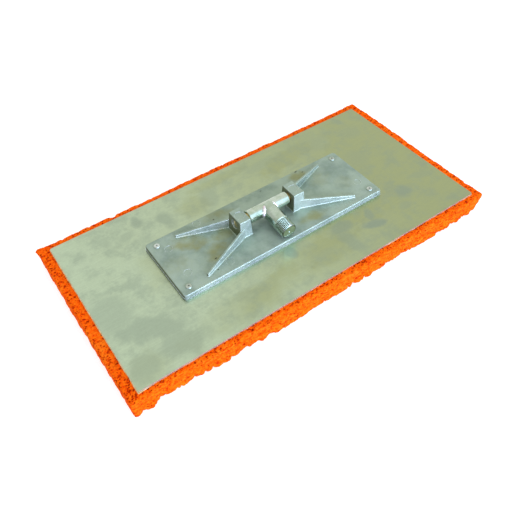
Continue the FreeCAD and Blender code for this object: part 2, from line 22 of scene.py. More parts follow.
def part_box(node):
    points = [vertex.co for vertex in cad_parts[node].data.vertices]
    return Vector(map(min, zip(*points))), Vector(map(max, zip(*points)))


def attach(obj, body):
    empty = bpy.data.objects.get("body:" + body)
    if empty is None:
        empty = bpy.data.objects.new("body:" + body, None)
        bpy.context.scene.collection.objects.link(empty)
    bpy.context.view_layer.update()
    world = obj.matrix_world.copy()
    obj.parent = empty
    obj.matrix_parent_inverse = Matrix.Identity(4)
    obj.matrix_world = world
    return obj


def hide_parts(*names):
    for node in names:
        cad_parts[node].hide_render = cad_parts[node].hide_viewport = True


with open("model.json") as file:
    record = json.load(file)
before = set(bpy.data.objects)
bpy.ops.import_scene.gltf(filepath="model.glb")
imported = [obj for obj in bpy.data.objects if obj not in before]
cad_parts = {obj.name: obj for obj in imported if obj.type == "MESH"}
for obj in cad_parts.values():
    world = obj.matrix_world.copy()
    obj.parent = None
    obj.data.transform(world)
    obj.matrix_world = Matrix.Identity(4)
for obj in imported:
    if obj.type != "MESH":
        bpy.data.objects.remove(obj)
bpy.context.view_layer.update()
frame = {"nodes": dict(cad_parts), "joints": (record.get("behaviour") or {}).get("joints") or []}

MM = 0.001
TUBE_RADIUS = 8.6 * MM
SHANK_RADIUS = 10.65 * MM
WHITE = (1.0, 1.0, 1.0)
Feed = float | tuple | bpy.types.NodeSocket
Colour = tuple[float, float, float]

log = logging.getLogger("grout_float")


class Body(Enum):
    """The two bodies that pieces ride on."""

    FLOAT = "float"
    STEM = "stem"


class Side(Enum):
    """Left or right of the stem, with its sign along X."""

    LEFT = -1
    RIGHT = 1

    @property
    def label(self) -> str:
        """The word used in piece names."""
        return self.name.lower()


# ------------------------------------------------------------ number fields


def unit_numbers(cells: np.ndarray, seed: int) -> np.ndarray:
    """Give each integer cell a fixed pseudo-random number from 0 to 1.

    The three indices are multiplied by large primes, combined by exclusive or and scrambled twice.

    Args:
        cells: Integer cells, as an array that ends in 3.
        seed: Which family of numbers.

    Returns:
        One number per cell.
    """
    parts = cells.astype(np.int64)
    mixed = parts[..., 0] * 73856093 ^ parts[..., 1] * 19349663 ^ parts[..., 2] * 83492791
    mixed = (mixed ^ (seed * 2654435761)) & 0xFFFFFFFF
    for _ in range(2):
        mixed = ((mixed ^ (mixed >> 15)) * 2246822519) & 0xFFFFFFFF
        mixed = ((mixed ^ (mixed >> 13)) * 3266489917) & 0xFFFFFFFF
    return (mixed ^ (mixed >> 16)) / 4294967295.0


def smooth_field(points: np.ndarray, seed: int) -> np.ndarray:
    """Give a smooth random field over space, from -1 to 1, with bumps about one unit across.

    It is value noise: numbers at the eight corners of a cell, blended with a smooth step along each axis.

    Args:
        points: Points, as an array that ends in 3, in units of the bumps' size.
        seed: Which field.

    Returns:
        One value per point.
    """
    low = np.floor(points)
    t = points - low
    t = t * t * (3 - 2 * t)
    total = np.zeros(points.shape[:-1])
    for corner in np.ndindex(2, 2, 2):
        step = np.array(corner)
        share = np.prod(np.where(step == 1, t, 1 - t), axis=-1)
        total += share * unit_numbers(low + step, seed)
    return total * 2 - 1


def layered_field(points: np.ndarray, octaves: int, seed: int) -> np.ndarray:
    """Add smooth fields, each twice as fine and half as strong as the one before.

    Args:
        points: Points in units of the largest bumps.
        octaves: How many fields.
        seed: Which set of fields.

    Returns:
        One value per point, from about -1 to 1.
    """
    total = np.zeros(points.shape[:-1])
    for octave in range(octaves):
        total += smooth_field(points * 2**octave, seed + octave) / 2**octave
    return total / (2 - 2.0 ** (1 - octaves))


def cell_field(points: np.ndarray, seed: int) -> tuple[np.ndarray, np.ndarray]:
    """Find the nearest scattered seed point, one of which lies at random in each unit cell.

    Args:
        points: Points in units of the cells' size.
        seed: Which scatter.

    Returns:
        The distance to the nearest seed point, and that seed point's own number from 0 to 1.
    """
    low = np.floor(points)
    nearest = np.full(points.shape[:-1], 9.0)
    own = np.zeros(points.shape[:-1])
    for step in np.ndindex(3, 3, 3):
        cell = low + (np.array(step) - 1)
        offset = np.stack([unit_numbers(cell, seed + axis) for axis in range(3)], axis=-1)
        distance = np.linalg.norm(cell + offset - points, axis=-1)
        closer = distance < nearest
        nearest = np.where(closer, distance, nearest)
        own = np.where(closer, unit_numbers(cell, seed + 7), own)
    return nearest, own


def circle_angles(count: int) -> np.ndarray:
    """Evenly spaced angles once round a circle."""
    return np.linspace(0, 2 * math.pi, count, endpoint=False)


def smooth_step(value: np.ndarray, low: float, high: float) -> np.ndarray:
    """Rise smoothly from 0 at low to 1 at high; low may be above high, and then it falls."""
    t = np.clip((value - low) / (high - low), 0, 1)
    return t * t * (3 - 2 * t)


# ------------------------------------------------------------ surfaces


@dataclass
class Surface:
    """Points and the faces between them, all as arrays.

    Attributes:
        points: One row of three coordinates per point.
        quads: One row of four point numbers per face, anticlockwise from outside.
        triangles: One row of three point numbers per face.
        marks: Named values, one per point, that a finish may read.
    """

    points: np.ndarray
    quads: np.ndarray
    triangles: np.ndarray = field(default_factory=lambda: np.zeros((0, 3), int))
    marks: dict[str, np.ndarray] = field(default_factory=dict)

    def mesh(self, name: str) -> bpy.types.Mesh:
        """Make the Blender mesh, shaded smooth.

        Args:
            name: The mesh's name.

        Returns:
            The mesh, with the marks as point attributes.
        """
        made = bpy.data.meshes.new(name)
        corners = np.concatenate([self.quads.ravel(), self.triangles.ravel()]).astype(np.int32)
        counts = np.concatenate([np.full(len(self.quads), 4), np.full(len(self.triangles), 3)])
        starts = np.concatenate([[0], np.cumsum(counts)[:-1]]).astype(np.int32)
        made.vertices.add(len(self.points))
        made.vertices.foreach_set("co", self.points.astype(np.float32).ravel())
        made.loops.add(len(corners))
        made.loops.foreach_set("vertex_index", corners)
        made.polygons.add(len(counts))
        made.polygons.foreach_set("loop_start", starts)
        made.polygons.foreach_set("use_smooth", np.full(len(counts), True))
        made.update(calc_edges=True)
        made.validate()
        for key, values in self.marks.items():
            mark = made.attributes.new(key, "FLOAT", "POINT")
            mark.data.foreach_set("value", values.astype(np.float32))
        return made


def grid_quads(rows: int, columns: int, closed_columns: bool = False) -> np.ndarray:
    """Number the faces of a grid of points whose rows follow each other in memory.

    Args:
        rows: How many rows of points.
        columns: How many points in a row.
        closed_columns: Whether the last column joins the first.

    Returns:
        One row of four point numbers per face: a point, the next in its row, and the same two a row on.
    """
    across = np.arange(columns if closed_columns else columns - 1)
    row, column = np.meshgrid(np.arange(rows - 1), across, indexing="ij")
    after = (column + 1) % columns
    first = row * columns
    corners = [first + column, first + after, first + columns + after, first + columns + column]
    return np.stack(corners, axis=-1).reshape(-1, 4)


def tube_surface(rings: np.ndarray) -> Surface:
    """Close a stack of rings into a solid skin, with a point in the middle of each end.

    Args:
        rings: An array of rings, each an array of points that run anticlockwise seen from the last ring.

    Returns:
        The closed surface.
    """
    count, around = rings.shape[:2]
    points = np.vstack([rings.reshape(-1, 3), rings[0].mean(axis=0), rings[-1].mean(axis=0)])
    start, end = count * around, count * around + 1
    here = np.arange(around)
    after = (here + 1) % around
    last = (count - 1) * around
    first_fan = np.stack([after, here, np.full(around, start)], axis=-1)
    last_fan = np.stack([last + here, last + after, np.full(around, end)], axis=-1)
    return Surface(points, grid_quads(count, around, True), np.vstack([first_fan, last_fan]))


def add_piece(name: str, surface: Surface, finish: "Finish", body: Body) -> bpy.types.Object:
    """Put a new piece in the scene, at the origin, riding on a body.

    Args:
        name: The piece's name.
        surface: Its shape, in the frame's own place.
        finish: What it is covered with.
        body: What it rides on.

    Returns:
        The new object.
    """
    mesh = surface.mesh(name)
    mesh.materials.append(finish.material())
    piece = bpy.data.objects.new(name, mesh)
    bpy.context.scene.collection.objects.link(piece)
    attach(piece, body.value)
    log.info("%s: %d points on %s", name, len(surface.points), body.value)
    return piece


def dress_node(name: str, finish: "Finish") -> None:
    """Give one of the frame's own pieces its finish."""
    for slot in frame["nodes"][name].material_slots:
        slot.material = finish.material()
    log.info("%s: finished in %s", name, finish.name)


# ------------------------------------------------------------ shader graphs


class Graph:
    """A shader tree that is filled with short calls, each of which returns an output socket."""

    def __init__(self, tree: bpy.types.NodeTree) -> None:
        """Start from an existing tree."""
        self.tree = tree

    def add(self, kind: str, feeds: dict | None = None, **settings: object) -> bpy.types.Node:
        """Add a node.

        Args:
            kind: The node's type, without its ShaderNode prefix.
            feeds: Values or sockets by input name or number.
            **settings: The node's own properties.

        Returns:
            The node.
        """
        node = self.tree.nodes.new("ShaderNode" + kind)
        for key, value in settings.items():
            setattr(node, key, value)
        for key, value in (feeds or {}).items():
            self.feed(node.inputs[key], value)
        return node

    def feed(self, socket: bpy.types.NodeSocket, value: Feed) -> None:
        """Link a socket to an input, or set the input's own value."""
        if isinstance(value, bpy.types.NodeSocket):
            self.tree.links.new(value, socket)
        elif isinstance(value, tuple) and len(value) == 3 and socket.type == "RGBA":
            socket.default_value = (*value, 1.0)
        else:
            socket.default_value = value

    def maths(self, operation: str, *values: Feed, clamp: bool = False) -> bpy.types.NodeSocket:
        """A Math node on one to three values."""
        feeds = dict(enumerate(values))
        return self.add("Math", feeds, operation=operation, use_clamp=clamp).outputs[0]

    def ramp(self, value: Feed, low: float, high: float, to_low: float = 0.0, to_high: float = 1.0) -> Feed:
        """A smooth, clamped change from one range to another."""
        feeds = {0: value, 1: low, 2: high, 3: to_low, 4: to_high}
        return self.add("MapRange", feeds, interpolation_type="SMOOTHSTEP", clamp=True).outputs[0]

    def blend(self, share: Feed, first: Feed, second: Feed) -> bpy.types.NodeSocket:
        """Mix two colours by a share from 0 to 1."""
        node = self.add("Mix", {0: share, 6: first, 7: second}, data_type="RGBA", clamp_factor=True)
        return node.outputs[2]

    def coats(self, colour: Feed, *coats: tuple[Feed, Feed]) -> Feed:
        """Lay coats over a colour, in order, each given as its share from 0 to 1 and its own colour."""
        for share, coat in coats:
            colour = self.blend(share, colour, coat)
        return colour

    def share(self, mask: Feed, most: float) -> bpy.types.NodeSocket:
        """A mask that reaches no further than a given share."""
        return self.maths("MULTIPLY", mask, most)

    def stretch(self, vector: Feed, scale: tuple[float, float, float]) -> bpy.types.NodeSocket:
        """Multiply a vector's three parts."""
        return self.add("VectorMath", {0: vector, 1: scale}, operation="MULTIPLY").outputs[0]

    def noise(self, vector: Feed, scale: Feed, detail: float = 3.0, roughness: float = 0.5) -> Feed:
        """Cloudy values from 0 to 1."""
        feeds = {"Vector": vector, "Scale": scale, "Detail": detail, "Roughness": roughness}
        return self.add("TexNoise", feeds).outputs[0]

    def cells(self, vector: Feed, scale: Feed) -> bpy.types.NodeSocket:
        """Distance to the nearest of the points scattered through space."""
        return self.add("TexVoronoi", {"Vector": vector, "Scale": scale}).outputs["Distance"]

    def place(self) -> bpy.types.NodeSocket:
        """The point's place on the piece, in metres."""
        return self.add("TexCoord").outputs["Object"]

    def parts(self, vector: Feed) -> tuple[bpy.types.NodeSocket, ...]:
        """A vector's X, Y and Z."""
        return tuple(self.add("SeparateXYZ", {0: vector}).outputs)

    def mark(self, name: str) -> bpy.types.NodeSocket:
        """A value stored on the mesh's points."""
        return self.add("Attribute", attribute_name=name).outputs["Fac"]

    def bump(self, height: Feed, depth: float, strength: float) -> bpy.types.NodeSocket:
        """A bumped normal; depth is how far a height of 1 stands up, in metres."""
        return self.add("Bump", {"Height": height, "Distance": depth, "Strength": strength}).outputs[0]

    def normal_parts(self) -> tuple[bpy.types.NodeSocket, ...]:
        """The parts of the surface's own direction."""
        return self.parts(self.add("NewGeometry").outputs["Normal"])

    def cover(self, shader: bpy.types.Node, colour: Feed, roughness: Feed, normal: Feed) -> None:
        """Feed a shader its colour, its roughness and its normal."""
        for name, value in (("Base Color", colour), ("Roughness", roughness), ("Normal", normal)):
            self.feed(shader.inputs[name], value)

    def effect(self, effect: "Effect", **feeds: Feed) -> bpy.types.NodeSocket:
        """Place a shared effect and return its first output; underscores in names stand for spaces."""
        node = self.add("Group")
        node.node_tree = effect_tree(effect)
        for key, value in feeds.items():
            self.feed(node.inputs[key.replace("_", " ").capitalize()], value)
        return node.outputs[0]


class Effect(Enum):
    """The shared effects, each a node group that is built once."""

    SMUDGE = "smudge"
    STREAKS = "drawn_streaks"
    WORN_EDGE = "worn_edge"
    SPECKS = "specks"


def build_smudge(graph: Graph, inputs: dict[str, bpy.types.NodeSocket]) -> Feed:
    """A soft, uneven oval: 1 inside, falling to 0 at a wavering edge."""
    flat = graph.stretch(inputs["Place"], (1.0, 1.0, 0.0))
    centre = graph.add("CombineXYZ", {0: inputs["X"], 1: inputs["Y"], 2: 0.0}).outputs[0]
    offset = graph.add("VectorMath", {0: flat, 1: centre}, operation="SUBTRACT").outputs[0]
    turned = graph.add(
        "VectorRotate", {"Vector": offset, "Angle": inputs["Turn"]}, rotation_type="Z_AXIS"
    ).outputs[0]
    size = graph.add("CombineXYZ", {0: inputs["Length"], 1: inputs["Width"], 2: 1.0}).outputs[0]
    scaled = graph.add("VectorMath", {0: turned, 1: size}, operation="DIVIDE").outputs[0]
    away = graph.add("VectorMath", {0: scaled}, operation="LENGTH").outputs["Value"]
    waver = graph.maths("MULTIPLY_ADD", graph.noise(inputs["Place"], 45.0, 5.0, 0.62), 0.9, -0.45)
    return graph.ramp(graph.maths("ADD", away, waver), 0.66, 0.26)


def build_streaks(graph: Graph, inputs: dict[str, bpy.types.NodeSocket]) -> Feed:
    """Fine lines drawn out along X, from 0 to 1."""
    lines = graph.noise(graph.stretch(inputs["Place"], (0.02, 1.0, 1.0)), inputs["Fineness"], 4.0, 0.7)
    return graph.ramp(lines, 0.25, 0.75)


def build_worn_edge(graph: Graph, inputs: dict[str, bpy.types.NodeSocket]) -> Feed:
    """A band along sharp edges: where a rounded normal leaves the true one, broken up by noise."""
    rounded = graph.add("Bevel", {"Radius": inputs["Radius"]}, samples=6).outputs[0]
    true = graph.add("NewGeometry").outputs["Normal"]
    along = graph.add("VectorMath", {0: rounded, 1: true}, operation="DOT_PRODUCT").outputs["Value"]
    edge = graph.ramp(along, 0.985, 0.86)
    broken = graph.ramp(graph.noise(inputs["Place"], 420.0, 3.0), 0.3, 0.62)
    return graph.maths("MULTIPLY", edge, broken)


def build_specks(graph: Graph, inputs: dict[str, bpy.types.NodeSocket]) -> Feed:
    """Small scattered dots, 1 inside and 0 outside."""
    near = graph.cells(inputs["Place"], inputs["Density"])
    patchy = graph.ramp(graph.noise(inputs["Place"], 90.0), 0.45, 0.7)
    return graph.maths("MULTIPLY", graph.ramp(near, inputs["Size"], 0.0), patchy)


EFFECT_MAKERS: dict[Effect, tuple[Callable, tuple[tuple[str, float], ...]]] = {
    Effect.SMUDGE: (build_smudge, (("X", 0.0), ("Y", 0.0), ("Length", 0.03), ("Width", 0.02), ("Turn", 0.0))),
    Effect.STREAKS: (build_streaks, (("Fineness", 900.0),)),
    Effect.WORN_EDGE: (build_worn_edge, (("Radius", 0.0006),)),
    Effect.SPECKS: (build_specks, (("Density", 160.0), ("Size", 0.12))),
}


def effect_tree(effect: Effect) -> bpy.types.NodeTree:
    """Find a shared effect's node group, and build it the first time.

    Args:
        effect: Which effect.

    Returns:
        Its node group, with a Place input, its own named inputs and one Mask output.
    """
    found = bpy.data.node_groups.get(effect.value)
    if found:
        return found
    tree = bpy.data.node_groups.new(effect.value, "ShaderNodeTree")
    build, extra = EFFECT_MAKERS[effect]
    tree.interface.new_socket("Place", in_out="INPUT", socket_type="NodeSocketVector")
    for name, value in extra:
        tree.interface.new_socket(name, in_out="INPUT", socket_type="NodeSocketFloat").default_value = value
    tree.interface.new_socket("Mask", in_out="OUTPUT", socket_type="NodeSocketFloat")
    entrance = tree.nodes.new("NodeGroupInput")
    exit_node = tree.nodes.new("NodeGroupOutput")
    inputs = {socket.name: socket for socket in entrance.outputs if socket.name}
    tree.links.new(build(Graph(tree), inputs), exit_node.inputs[0])
    return tree


# ------------------------------------------------------------ finishes


@dataclass(frozen=True)
class Finish:
    """What a surface is covered with. Each finish makes its material once.

    Attributes:
        name: The material's name.
        metallic: 1 for bare metal, 0 for anything else.
        specular: The strength of the gloss on what isn't metal.
    """

    name: str = "finish"
    metallic: float = 1.0
    specular: float = 0.5

    def material(self) -> bpy.types.Material:
        """Find the material, and build it the first time."""
        found = bpy.data.materials.get(self.name)
        if found:
            return found
        made = bpy.data.materials.new(self.name)
        made.use_nodes = True
        made.node_tree.nodes.clear()
        graph = Graph(made.node_tree)
        shader = graph.add("BsdfPrincipled")
        shader.inputs["Metallic"].default_value = self.metallic
        shader.inputs["Specular IOR Level"].default_value = self.specular
        self.shade(graph, shader)
        output = graph.add("OutputMaterial")
        graph.feed(output.inputs["Surface"], shader.outputs[0])
        return made

    def shade(self, graph: Graph, shader: bpy.types.Node) -> None:
        """Feed the shader's inputs."""
        raise NotImplementedError


@dataclass(frozen=True)
class Smudge:
    """An oval mark on a flat face, seen from above; stains, pits and one painted reflection are made of
    these.

    Attributes:
        x: Centre along X, in millimetres.
        y: Centre along Y, in millimetres.
        length: Its long diameter, in millimetres.
        width: Its short diameter, in millimetres.
        turn: The long diameter's direction from X, in degrees.
        strength: How much it changes the colour, from 0 to 1.
    """

    x: float
    y: float
    length: float
    width: float
    turn: float = 0.0
    strength: float = 1.0

    def mask(self, graph: Graph, place: Feed) -> bpy.types.NodeSocket:
        """The stain's strength at each point."""
        oval = graph.effect(
            Effect.SMUDGE, place=place, x=self.x * MM, y=self.y * MM,
            length=self.length * MM, width=self.width * MM, turn=math.radians(-self.turn),
        )
        return graph.share(oval, self.strength)


def all_smudges(graph: Graph, place: Feed, smudges: Iterable[Smudge]) -> Feed:
    """The strongest of several oval marks at each point."""
    total: Feed = 0.0
    for smudge in smudges:
        total = graph.maths("MAXIMUM", smudge.mask(graph, place), total)
    return total


SHEET_OXIDE_AND_REFLECTION = (
    Smudge(-186, 90, 20, 24, 0, 0.4), Smudge(-160, 82, 34, 20, 20, 0.4), Smudge(-137, 97, 20, 26, 0, 0.7),
    Smudge(-105, 78, 24, 34, 10, 0.6), Smudge(-140, 62, 16, 18, 0, 0.35), Smudge(-36, 82, 26, 40, -20, 0.45),
    Smudge(-5, 76, 34, 18, 0, 0.4), Smudge(60, 95, 60, 20, 8, 0.35), Smudge(125, 85, 20, 14, -30, 0.45),
    Smudge(152, 84, 44, 34, 20, 0.3), Smudge(206, 108, 12, 30, 15, 0.55), Smudge(206, 78, 40, 34, 0, 0.3),
    Smudge(66, -66, 34, 20, -10, 0.7), Smudge(62, -92, 20, 56, 8, 0.6), Smudge(104, -86, 34, 15, -18, 0.9),
    Smudge(110, -68, 13, 24, -20, 0.7), Smudge(176, -64, 26, 28, 10, 0.8), Smudge(160, -84, 22, 14, 0, 0.4),
    Smudge(216, -52, 40, 12, -18, 0.35), Smudge(-198, -60, 104, 40, -24, 0.6),
    Smudge(-182, -94, 70, 40, -10, 0.55), Smudge(-228, -98, 44, 36, 0, 0.45),
    Smudge(-226, -20, 50, 70, 10, 0.45), Smudge(-92, -82, 36, 14, 0, 0.3),
    # The middle smudge on the next line, at x -9 and y -61, is a painted reflection of the stem's end; the
    # others are oxide stains.
    Smudge(172, 24, 44, 34, 30, 0.3), Smudge(-9, -61, 16, 22, 10, 0.8), Smudge(22, -88, 50, 12, 6, 0.25),
)
SHEET_YELLOWING = (
    Smudge(130, -20, 200, 90, 20, 0.5), Smudge(-90, -94, 190, 44, 4, 0.8), Smudge(10, -84, 120, 40, 0, 0.4),
    Smudge(-150, 6, 50, 80, -10, 0.5), Smudge(-64, 78, 40, 44, 10, 0.5), Smudge(196, 40, 90, 120, 0, 0.6),
    Smudge(-226, -104, 60, 44, 0, 0.5), Smudge(90, 84, 90, 30, 12, 0.5), Smudge(-10, 104, 90, 18, 0, 0.4),
)


@dataclass(frozen=True)
class SheetAlloy(Finish):
    """Mill-finish sheet: a satin skin with fine streaks along its length, stained by water and glue, with one
    painted reflection of the stem's end.

    Attributes:
        edge_start: Depth under the top face where the bright cut edge begins.
        edge_full: Depth where it is at its brightest.
    """

    name: str = "satin_sheet_alloy"
    fresh: Colour = (0.545, 0.665, 0.49)
    yellowed: Colour = (0.38, 0.425, 0.215)
    # oxide stains, and the painted reflection of the stem's end
    oxide: Colour = (0.29, 0.365, 0.29)
    film: Colour = (0.27, 0.31, 0.23)
    speck: Colour = (0.22, 0.23, 0.16)
    cut_edge: Colour = (0.74, 0.68, 0.72)
    edge_start: float = 0.05 * MM
    edge_full: float = 0.12 * MM

    def shade(self, graph: Graph, shader: bpy.types.Node) -> None:
        """Blend fresh, yellowed and oxidised metal and one painted reflection, and roughen where it is
        stained.
        """
        place = graph.place()
        x, _, z = graph.parts(place)
        clouds = graph.noise(place, 9.0, 4.0, 0.6)
        aged = graph.ramp(graph.maths("MULTIPLY_ADD", clouds, 0.2, x), -0.18, 0.34, 0.05, 1.0)
        patches = graph.share(all_smudges(graph, place, SHEET_YELLOWING), 0.55)
        patches = graph.maths("MULTIPLY", patches, graph.ramp(clouds, 0.3, 0.6, 0.3, 1.0))
        yellow = graph.maths("ADD", aged, patches, clamp=True)
        # oxide stains and mottle, with one painted reflection of the stem's end
        stains = all_smudges(graph, place, SHEET_OXIDE_AND_REFLECTION)
        mottle = graph.ramp(graph.noise(place, 40.0, 6.0, 0.7), 0.42, 0.68)
        stains = graph.maths("MAXIMUM", stains, graph.share(mottle, 0.5))
        dulling = graph.ramp(graph.noise(place, 420.0, 3.0, 0.7), 0.3, 0.7, 0.0, 0.12)
        streaks = graph.effect(Effect.STREAKS, place=place, fineness=1400.0)
        specks = graph.effect(Effect.SPECKS, place=place, density=120.0, size=0.1)
        top = frame_top("backing_sheet")
        side = graph.ramp(z, top - self.edge_start, top - self.edge_full)
        colour = graph.coats(
            self.fresh,
            (yellow, self.yellowed),
            # oxide stains, and the painted reflection of the stem's end
            (graph.share(stains, 0.85), self.oxide),
            (graph.ramp(streaks, 0.0, 1.0, 0.0, 0.16), self.film),
            (dulling, self.film),
            (graph.share(specks, 0.5), self.speck),
            (side, self.cut_edge),
        )
        rough = graph.ramp(stains, 0.0, 1.0, 0.34, 0.44)
        rough = graph.maths("ADD", rough, graph.ramp(streaks, 0.0, 1.0, -0.03, 0.05))
        graph.cover(shader, colour, rough, graph.bump(streaks, 0.02 * MM, 0.35))
        graph.feed(shader.inputs["Metallic"], graph.ramp(side, 0.0, 1.0, 1.0, 0.4))
        shader.inputs["Anisotropic"].default_value = 0.35


CASTING_STAINS = (
    Smudge(-104, 20, 40, 26, -30, 1.0), Smudge(-82, -14, 36, 26, 10, 1.0), Smudge(-50, 40, 46, 16, -10, 0.7),
    Smudge(-62, 8, 24, 20, 0, 0.9), Smudge(78, 40, 24, 22, 20, 1.0), Smudge(48, -34, 38, 18, 0, 1.0),
    Smudge(100, 18, 40, 30, 20, 0.4), Smudge(-130, -2, 40, 30, 0, 0.35), Smudge(120, -8, 30, 24, 0, 0.35),
)
CASTING_PITS = (
    Smudge(-90, -21, 3.4, 1.8, 15), Smudge(-97, -37, 3.0, 1.6, 20), Smudge(81, 47, 5.0, 1.8, 20),
    Smudge(88, 41, 2.6, 1.6, 0), Smudge(-58, 36, 2.4, 1.5, 40), Smudge(20, 44, 2.2, 1.4, 0),
)


@dataclass(frozen=True)
class CastAlloy(Finish):
    """As-cast alloy: a dull, finely grained skin with oily stains, flow marks, worn edges and pits, with
    painted shade in the pits and on the faces that face left.

    Attributes:
        stain_start: Depth under the lugs' top where the plate's stains and pits begin to show.
        stain_full: Depth where they show in full.
    """

    name: str = "as_cast_alloy"
    metallic: float = 0.7
    skin: Colour = (0.335, 0.425, 0.325)
    flow: Colour = (0.21, 0.285, 0.22)
    bloom: Colour = (0.44, 0.51, 0.45)
    oil: Colour = (0.26, 0.26, 0.08)
    soot: Colour = (0.12, 0.13, 0.10)
    # painted shade for the faces that face left
    grime: Colour = (0.13, 0.15, 0.07)
    # painted shade inside the pits
    pit: Colour = (0.06, 0.06, 0.04)
    rubbed: Colour = (0.84, 0.90, 0.95)
    stain_start: float = 23.0 * MM
    stain_full: float = 24.5 * MM

    def shade(self, graph: Graph, shader: bpy.types.Node) -> None:
        """Blend the skin with its flow marks and stains, brighten worn edges, and paint shade on the faces
        that face left and in the pits.
        """
        place = graph.place()
        clouds = graph.noise(place, 28.0, 5.0, 0.62)
        grain = graph.noise(place, 1300.0, 2.0)
        lumps = graph.noise(place, 260.0, 4.0, 0.6)
        stains = all_smudges(graph, place, CASTING_STAINS)
        patchy = graph.ramp(graph.noise(place, 70.0, 4.0), 0.3, 0.7, 0.35, 1.1)
        stains = graph.maths("MULTIPLY", stains, patchy)
        pits = all_smudges(graph, place, CASTING_PITS)
        top = frame_top("bracket")
        _, _, z = graph.parts(place)
        on_plate = graph.ramp(z, top - self.stain_start, top - self.stain_full)
        stains = graph.maths("MULTIPLY", stains, on_plate)
        pits = graph.maths("MULTIPLY", pits, on_plate)
        edges = graph.effect(Effect.WORN_EDGE, place=place, radius=0.7 * MM)
        specks = graph.effect(Effect.SPECKS, place=place, density=300.0, size=0.16)
        sideways, _, _ = graph.normal_parts()
        colour = graph.coats(
            self.skin,
            (graph.ramp(clouds, 0.35, 0.7), self.flow),
            (graph.ramp(lumps, 0.35, 0.75, 0.0, 0.22), self.bloom),
            (graph.share(stains, 0.62), self.oil),
            (graph.share(specks, 0.4), self.soot),
            (graph.share(edges, 0.9), self.rubbed),
            # painted shade: faces are darkened by how far they face left
            (graph.ramp(sideways, -0.55, -0.92, 0.0, 0.86), self.grime),
            # painted shade inside the pits, over the dent that the bump makes
            (graph.share(pits, 0.8), self.pit),
        )
        rough = graph.maths("MULTIPLY_ADD", edges, -0.16, graph.ramp(lumps, 0.3, 0.7, 0.46, 0.6))
        bumps = graph.maths("ADD", graph.share(lumps, 0.8), graph.share(grain, 0.25))
        bumps = graph.maths("MULTIPLY_ADD", pits, -4.0, bumps)
        graph.cover(shader, colour, rough, graph.bump(bumps, 0.16 * MM, 0.8))


@dataclass(frozen=True)
class PlatedSteel(Finish):
    """Zinc-plated steel: bright, a little wavy, with a faint cast from its passivation."""

    name: str = "bright_zinc_plating"
    bright: Colour = (0.58, 0.66, 0.57)
    cast: Colour = (0.43, 0.52, 0.40)
    dull: Colour = (0.30, 0.32, 0.26)
    # worn edges; on the cut thread the same colour is the crests' painted highlight
    rubbed: Colour = (0.92, 0.95, 0.95)
    roughness: float = 0.2

    def shade(self, graph: Graph, shader: bpy.types.Node) -> None:
        """Blend the plating with its cast, dull spots and rubbed edges."""
        place = graph.place()
        clouds = graph.noise(place, 75.0, 4.0, 0.6)
        spots = graph.effect(Effect.SPECKS, place=place, density=700.0, size=0.25)
        edges = graph.effect(Effect.WORN_EDGE, place=place, radius=0.35 * MM)
        fine = graph.noise(place, 900.0, 2.0)
        colour = graph.coats(
            self.bright,
            (graph.ramp(clouds, 0.35, 0.68), self.cast),
            (graph.share(spots, 0.2), self.dull),
            (graph.share(edges, 0.6), self.rubbed),
        )
        colour = self.shape_tone(graph, colour)
        rough = graph.ramp(clouds, 0.3, 0.75, self.roughness - 0.05, self.roughness + 0.09)
        graph.cover(shader, colour, rough, graph.bump(graph.maths("ADD", fine, clouds), 0.012 * MM, 0.5))

    def shape_tone(self, graph: Graph, colour: Feed) -> Feed:
        """Change the colour where the shape asks for it; plain plating has no such place."""
        return colour


@dataclass(frozen=True)
class CutThreadPlating(PlatedSteel):
    """Zinc on the cut thread, with painted shade at the roots and a painted highlight meant for the crests.
    """

    name: str = "bright_zinc_on_thread"
    bright: Colour = (0.54, 0.63, 0.54)
    cast: Colour = (0.40, 0.49, 0.38)
    # painted shade for the thread's roots
    root: Colour = (0.10, 0.11, 0.09)

    def shape_tone(self, graph: Graph, colour: Feed) -> Feed:
        """Darken the roots with painted shade and brighten the crests with a painted highlight, by the height
        stored on the points; the highlight starts above 1.02, which the stored heights never reach.
        """
        crest = graph.mark("crest")
        return graph.coats(
            colour,
            # painted shade in the thread's roots
            (graph.ramp(crest, 0.78, 0.15, 0.0, 0.95), self.root),
            # painted highlight on the crests; it starts above 1.02 and the stored heights stop at 1, so it
            # adds nothing
            (graph.ramp(crest, 1.02, 1.3), self.rubbed),
        )


@dataclass(frozen=True)
class WeldMetal(Finish):
    """A plated weld bead: bright crowns, painted shade down in the ripples, and a pinkish heat tint in cloudy
    patches.
    """

    name: str = "rippled_weld"
    crown: Colour = (0.88, 0.89, 0.87)
    tint: Colour = (0.74, 0.62, 0.62)
    # painted shade for the ripples' low points
    soot: Colour = (0.20, 0.19, 0.18)

    def shade(self, graph: Graph, shader: bpy.types.Node) -> None:
        """Colour the bead by how high each point stands in its ripple, with painted shade at the low points.
        """
        place = graph.place()
        crest = graph.mark("crest")
        clouds = graph.noise(place, 320.0, 4.0, 0.6)
        colour = graph.coats(
            self.crown,
            (graph.ramp(clouds, 0.4, 0.66), self.tint),
            # painted shade in the ripples' low points
            (graph.ramp(crest, 0.35, 0.0), self.soot),
        )
        rough = graph.ramp(clouds, 0.3, 0.7, 0.22, 0.42)
        graph.cover(shader, colour, rough, graph.bump(clouds, 0.12 * MM, 0.7))


